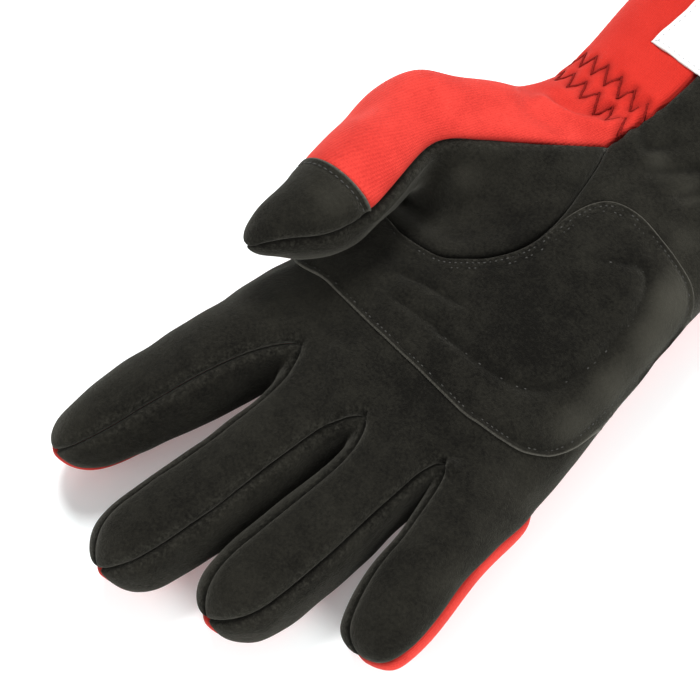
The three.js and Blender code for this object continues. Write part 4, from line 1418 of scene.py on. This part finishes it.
def stitch_row(name, rows, long, thick, material, slot, sunk=0.0, uneven=0.0):
    """Stitches at (place, normal, way) in mm. Each is sunk by a little more or less than the rest."""
    places, faces = [], []
    dice = np.random.default_rng(len(rows))
    for place, normal, way in rows:
        normal = unit(np.array(normal, float))
        place = place - normal * (sunk + uneven * dice.uniform(-1, 1))
        way = unit(way - normal * (way @ normal))
        side = np.cross(normal, way)
        turned = (stitch_points[:, :1] * long * way + stitch_points[:, 1:2] * thick * side
                  + stitch_points[:, 2:] * thick * normal)
        faces += [tuple(v + len(places) * len(stitch_points) for v in f) for f in stitch_faces]
        places.append(turned + place)
    return finished(mesh_piece(name, np.vstack(places), faces, material), slot)


def flat_row(line, tree, pitch, above, closed=False):
    """Places along a flat line dropped on the skin, raised by above(flat)."""
    line = even_line(np.vstack([line, line[:1]]) if closed else np.array(line, float), pitch)
    spots, ways = smoothed(tree, line)
    spots = spots + ways * above(line)[:, None]
    steps = np.gradient(spots, axis=0)
    return [(p, n, w) for p, n, w in zip(spots, ways, steps)][:-1 if closed else None]

# %% Stitches of the patch
PATCH_PITCH, QUILTING_PITCH, HEEL_REACH = 1.55, 2.3, 6.0


def on_patch(flat):
    closed = np.vstack([patch_outline, patch_outline[:1]])
    return PATCH_GAP + 0.03 + patch_height(flat, line_distance(flat, closed))


first_row = flat_row(inner_line(patch_outline, STITCH_INSET), palm_tree, PATCH_PITCH, on_patch, True)
heel = [tuple(p) for p in inner_line(patch_outline, SECOND_INSET)
        if line_distance(p[None], HEEL_ROW)[0] < HEEL_REACH]
second_row = flat_row(np.array(heel), palm_tree, PATCH_PITCH, on_patch)
quilt_row = flat_row(quilted, palm_tree, QUILTING_PITCH, on_patch)
stitch_row("patch_stitches", first_row + second_row, 0.85, 0.44, black_thread, "black_suede",
           sunk=0.12, uneven=0.12)
stitch_row("quilting_stitches", quilt_row, 0.9, 0.42, black_thread, "black_suede",
           sunk=0.14, uneven=0.14)

# %% Stitches of the label
def on_label(flat):
    closed = np.vstack([label_outline, label_outline[:1]])
    return LABEL_GAP + 0.02 + label_height(flat, line_distance(flat, closed))


label_row = flat_row(inner_line(label_outline, LABEL_STITCH_INSET), skin_tree, 1.9, on_label, True)
stitch_row("label_stitches", label_row, 0.9, 0.34, grey_thread, "white_cloth")

# %% Stitches of the thumb's cap
CAP_PITCH = 2.0
cap_quads = quads_in("thumb_cap")
cap_inward = seam_facts(cap_quads)[2]
chain = dict(edges_within(border(cap_quads), lap_points))
line = [(set(chain) - set(chain.values())).pop()]
while line[-1] in chain:
    line.append(chain[line[-1]])
cap_line = np.array([P[v] + cap_inward[v] * LAP_STITCH_AT for v in line])
cap_line = even_line(cap_line, CAP_PITCH)
cap_tree = tree_of(P, cap_quads)
cap_rows = []
for place, way in zip(cap_line, np.gradient(cap_line, axis=0)):
    hit, normal, _, _ = cap_tree.find_nearest(Vector(place))
    cap_rows.append((np.array(hit + normal * 0.05), np.array(normal), way))
stitch_row("cap_stitches", cap_rows[1:-1], 1.3, 0.5, black_thread, "black_suede",
           sunk=0.06, uneven=0.08)

# %% [markdown]
# The photograph ends before the cuff does, so its hem is a plain one: the cloth is turned in, which
# makes it a little thicker, and held with one row of stitches in the colour of each panel.

# %% Stitches of the hem
HEM_ROW_AT, HEM_PITCH, CUFF_AXIS, CUFF_FROM = 119.8, 2.6, (5.5, 25.0), 105
hem_far = distance_to(sewn_edges(quads_in("back_panel")), np.flatnonzero(P[:, 1] > CUFF_FROM))
hem_line = []
for angle in np.arange(0, 360, 0.25):
    hit, normal, face = from_axis(CUFF_AXIS, angle, HEM_ROW_AT)
    hem_line.append((np.array(hit), np.array(normal), face))
steps = [np.linalg.norm(b[0] - a[0]) for a, b in zip(hem_line, hem_line[1:] + hem_line[:1])]
along = np.concatenate([[0], np.cumsum(steps)[:-1]])
hem_rows = {"palm_panel": [], "back_panel": []}
for position in np.arange(0, sum(steps) - HEM_PITCH / 2, HEM_PITCH):
    i = int(np.searchsorted(along, position, side="right")) - 1
    place, normal, face = hem_line[i]
    if hem_far[fine_quads[face]].min() > ROLL_WIDTH + 0.6:
        way = hem_line[(i + 2) % len(hem_line)][0] - hem_line[i - 2][0]
        hem_rows[PANELS[fine_panel[face]]].append((place, normal, way))
stitch_row("hem_stitches_palm", hem_rows["palm_panel"], 1.7, 0.5, black_thread, "black_suede")
stitch_row("hem_stitches_back", hem_rows["back_panel"], 1.7, 0.5, red_thread, "red_knit")

# %% [markdown]
# The zigzag thread is one long yarn, so it is a tube swept along the traced line. It lies low in the
# groove that it pulls into the knit.

# %% Zigzag threads
TUBE_SIDES, YARN_RADIUS, YARN_ABOVE = 7, 0.36, 0.12


def in_groove(line, above):
    """The traced line laid on the skin as it is now, drawn in and puffed up."""
    laid = []
    for place, normal in line:
        hit = skin_tree.ray_cast(place + normal * 6, -normal)[0] or place
        laid.append((hit + normal * above, normal))
    return laid


def thread_tube(name, line, radius, material, slot):
    """A yarn along the line, a little flatter than round, closed at both ends."""
    sides, places, faces = TUBE_SIDES, [], []
    centres = np.array([tuple(p) for p, n in line])
    ways = np.gradient(centres, axis=0)
    for centre, way, (_, normal) in zip(centres, ways, line):
        way = unit(way)
        out = unit(np.array(normal) - way * (way @ np.array(normal)))
        side = np.cross(way, out)
        for k in range(sides):
            angle = 2 * math.pi * k / sides
            places.append(centre + radius * (math.cos(angle) * out * 0.8 + math.sin(angle) * side))
    for i in range(len(centres) - 1):
        for k in range(sides):
            a, b = i * sides + k, i * sides + (k + 1) % sides
            faces.append((a, b, b + sides, a + sides))
    faces += [tuple(range(sides))[::-1], tuple(len(places) - sides + k for k in range(sides))]
    return finished(mesh_piece(name, places, faces, material), slot)


for number, line in enumerate(elastic_lines, 1):
    laid = in_groove(line, YARN_ABOVE)
    thread_tube(f"elastic_zigzag_{number}", laid, YARN_RADIUS, red_thread, "red_knit")

# %% [markdown]
# ## Pale floor
# The floor is a plane far wider than the glove, so that its edge never shows. It glows faintly, which
# is painted light that keeps its shadows pale, and its paint is a little cyan, so that the red light
# bounced from the knit doesn't tint its shadows pink.

# %% Floor
FLOOR_SIZE, FLOOR_BELOW = 6, 0.3 * MM
bpy.ops.object.select_all(action="DESELECT")
bpy.ops.mesh.primitive_plane_add(size=FLOOR_SIZE, location=(0, 0, -FLOOR_BELOW))
floor = bpy.context.object
floor.name = "floor"
# Painted light: the floor glows faintly, and its cyan tint cancels the red light bounced from the knit in
# its shadows.
glowing_floor_paint, tree, shader = plain_shader("glowing_floor_paint", {
    "Roughness": 0.9, "Specular IOR Level": 0.1, "Base Color": (0.89, 0.95, 0.95, 1),
    "Emission Color": (1, 1, 1, 1), "Emission Strength": 0.16})
floor.data.materials.append(glowing_floor_paint)
print("floor ready")
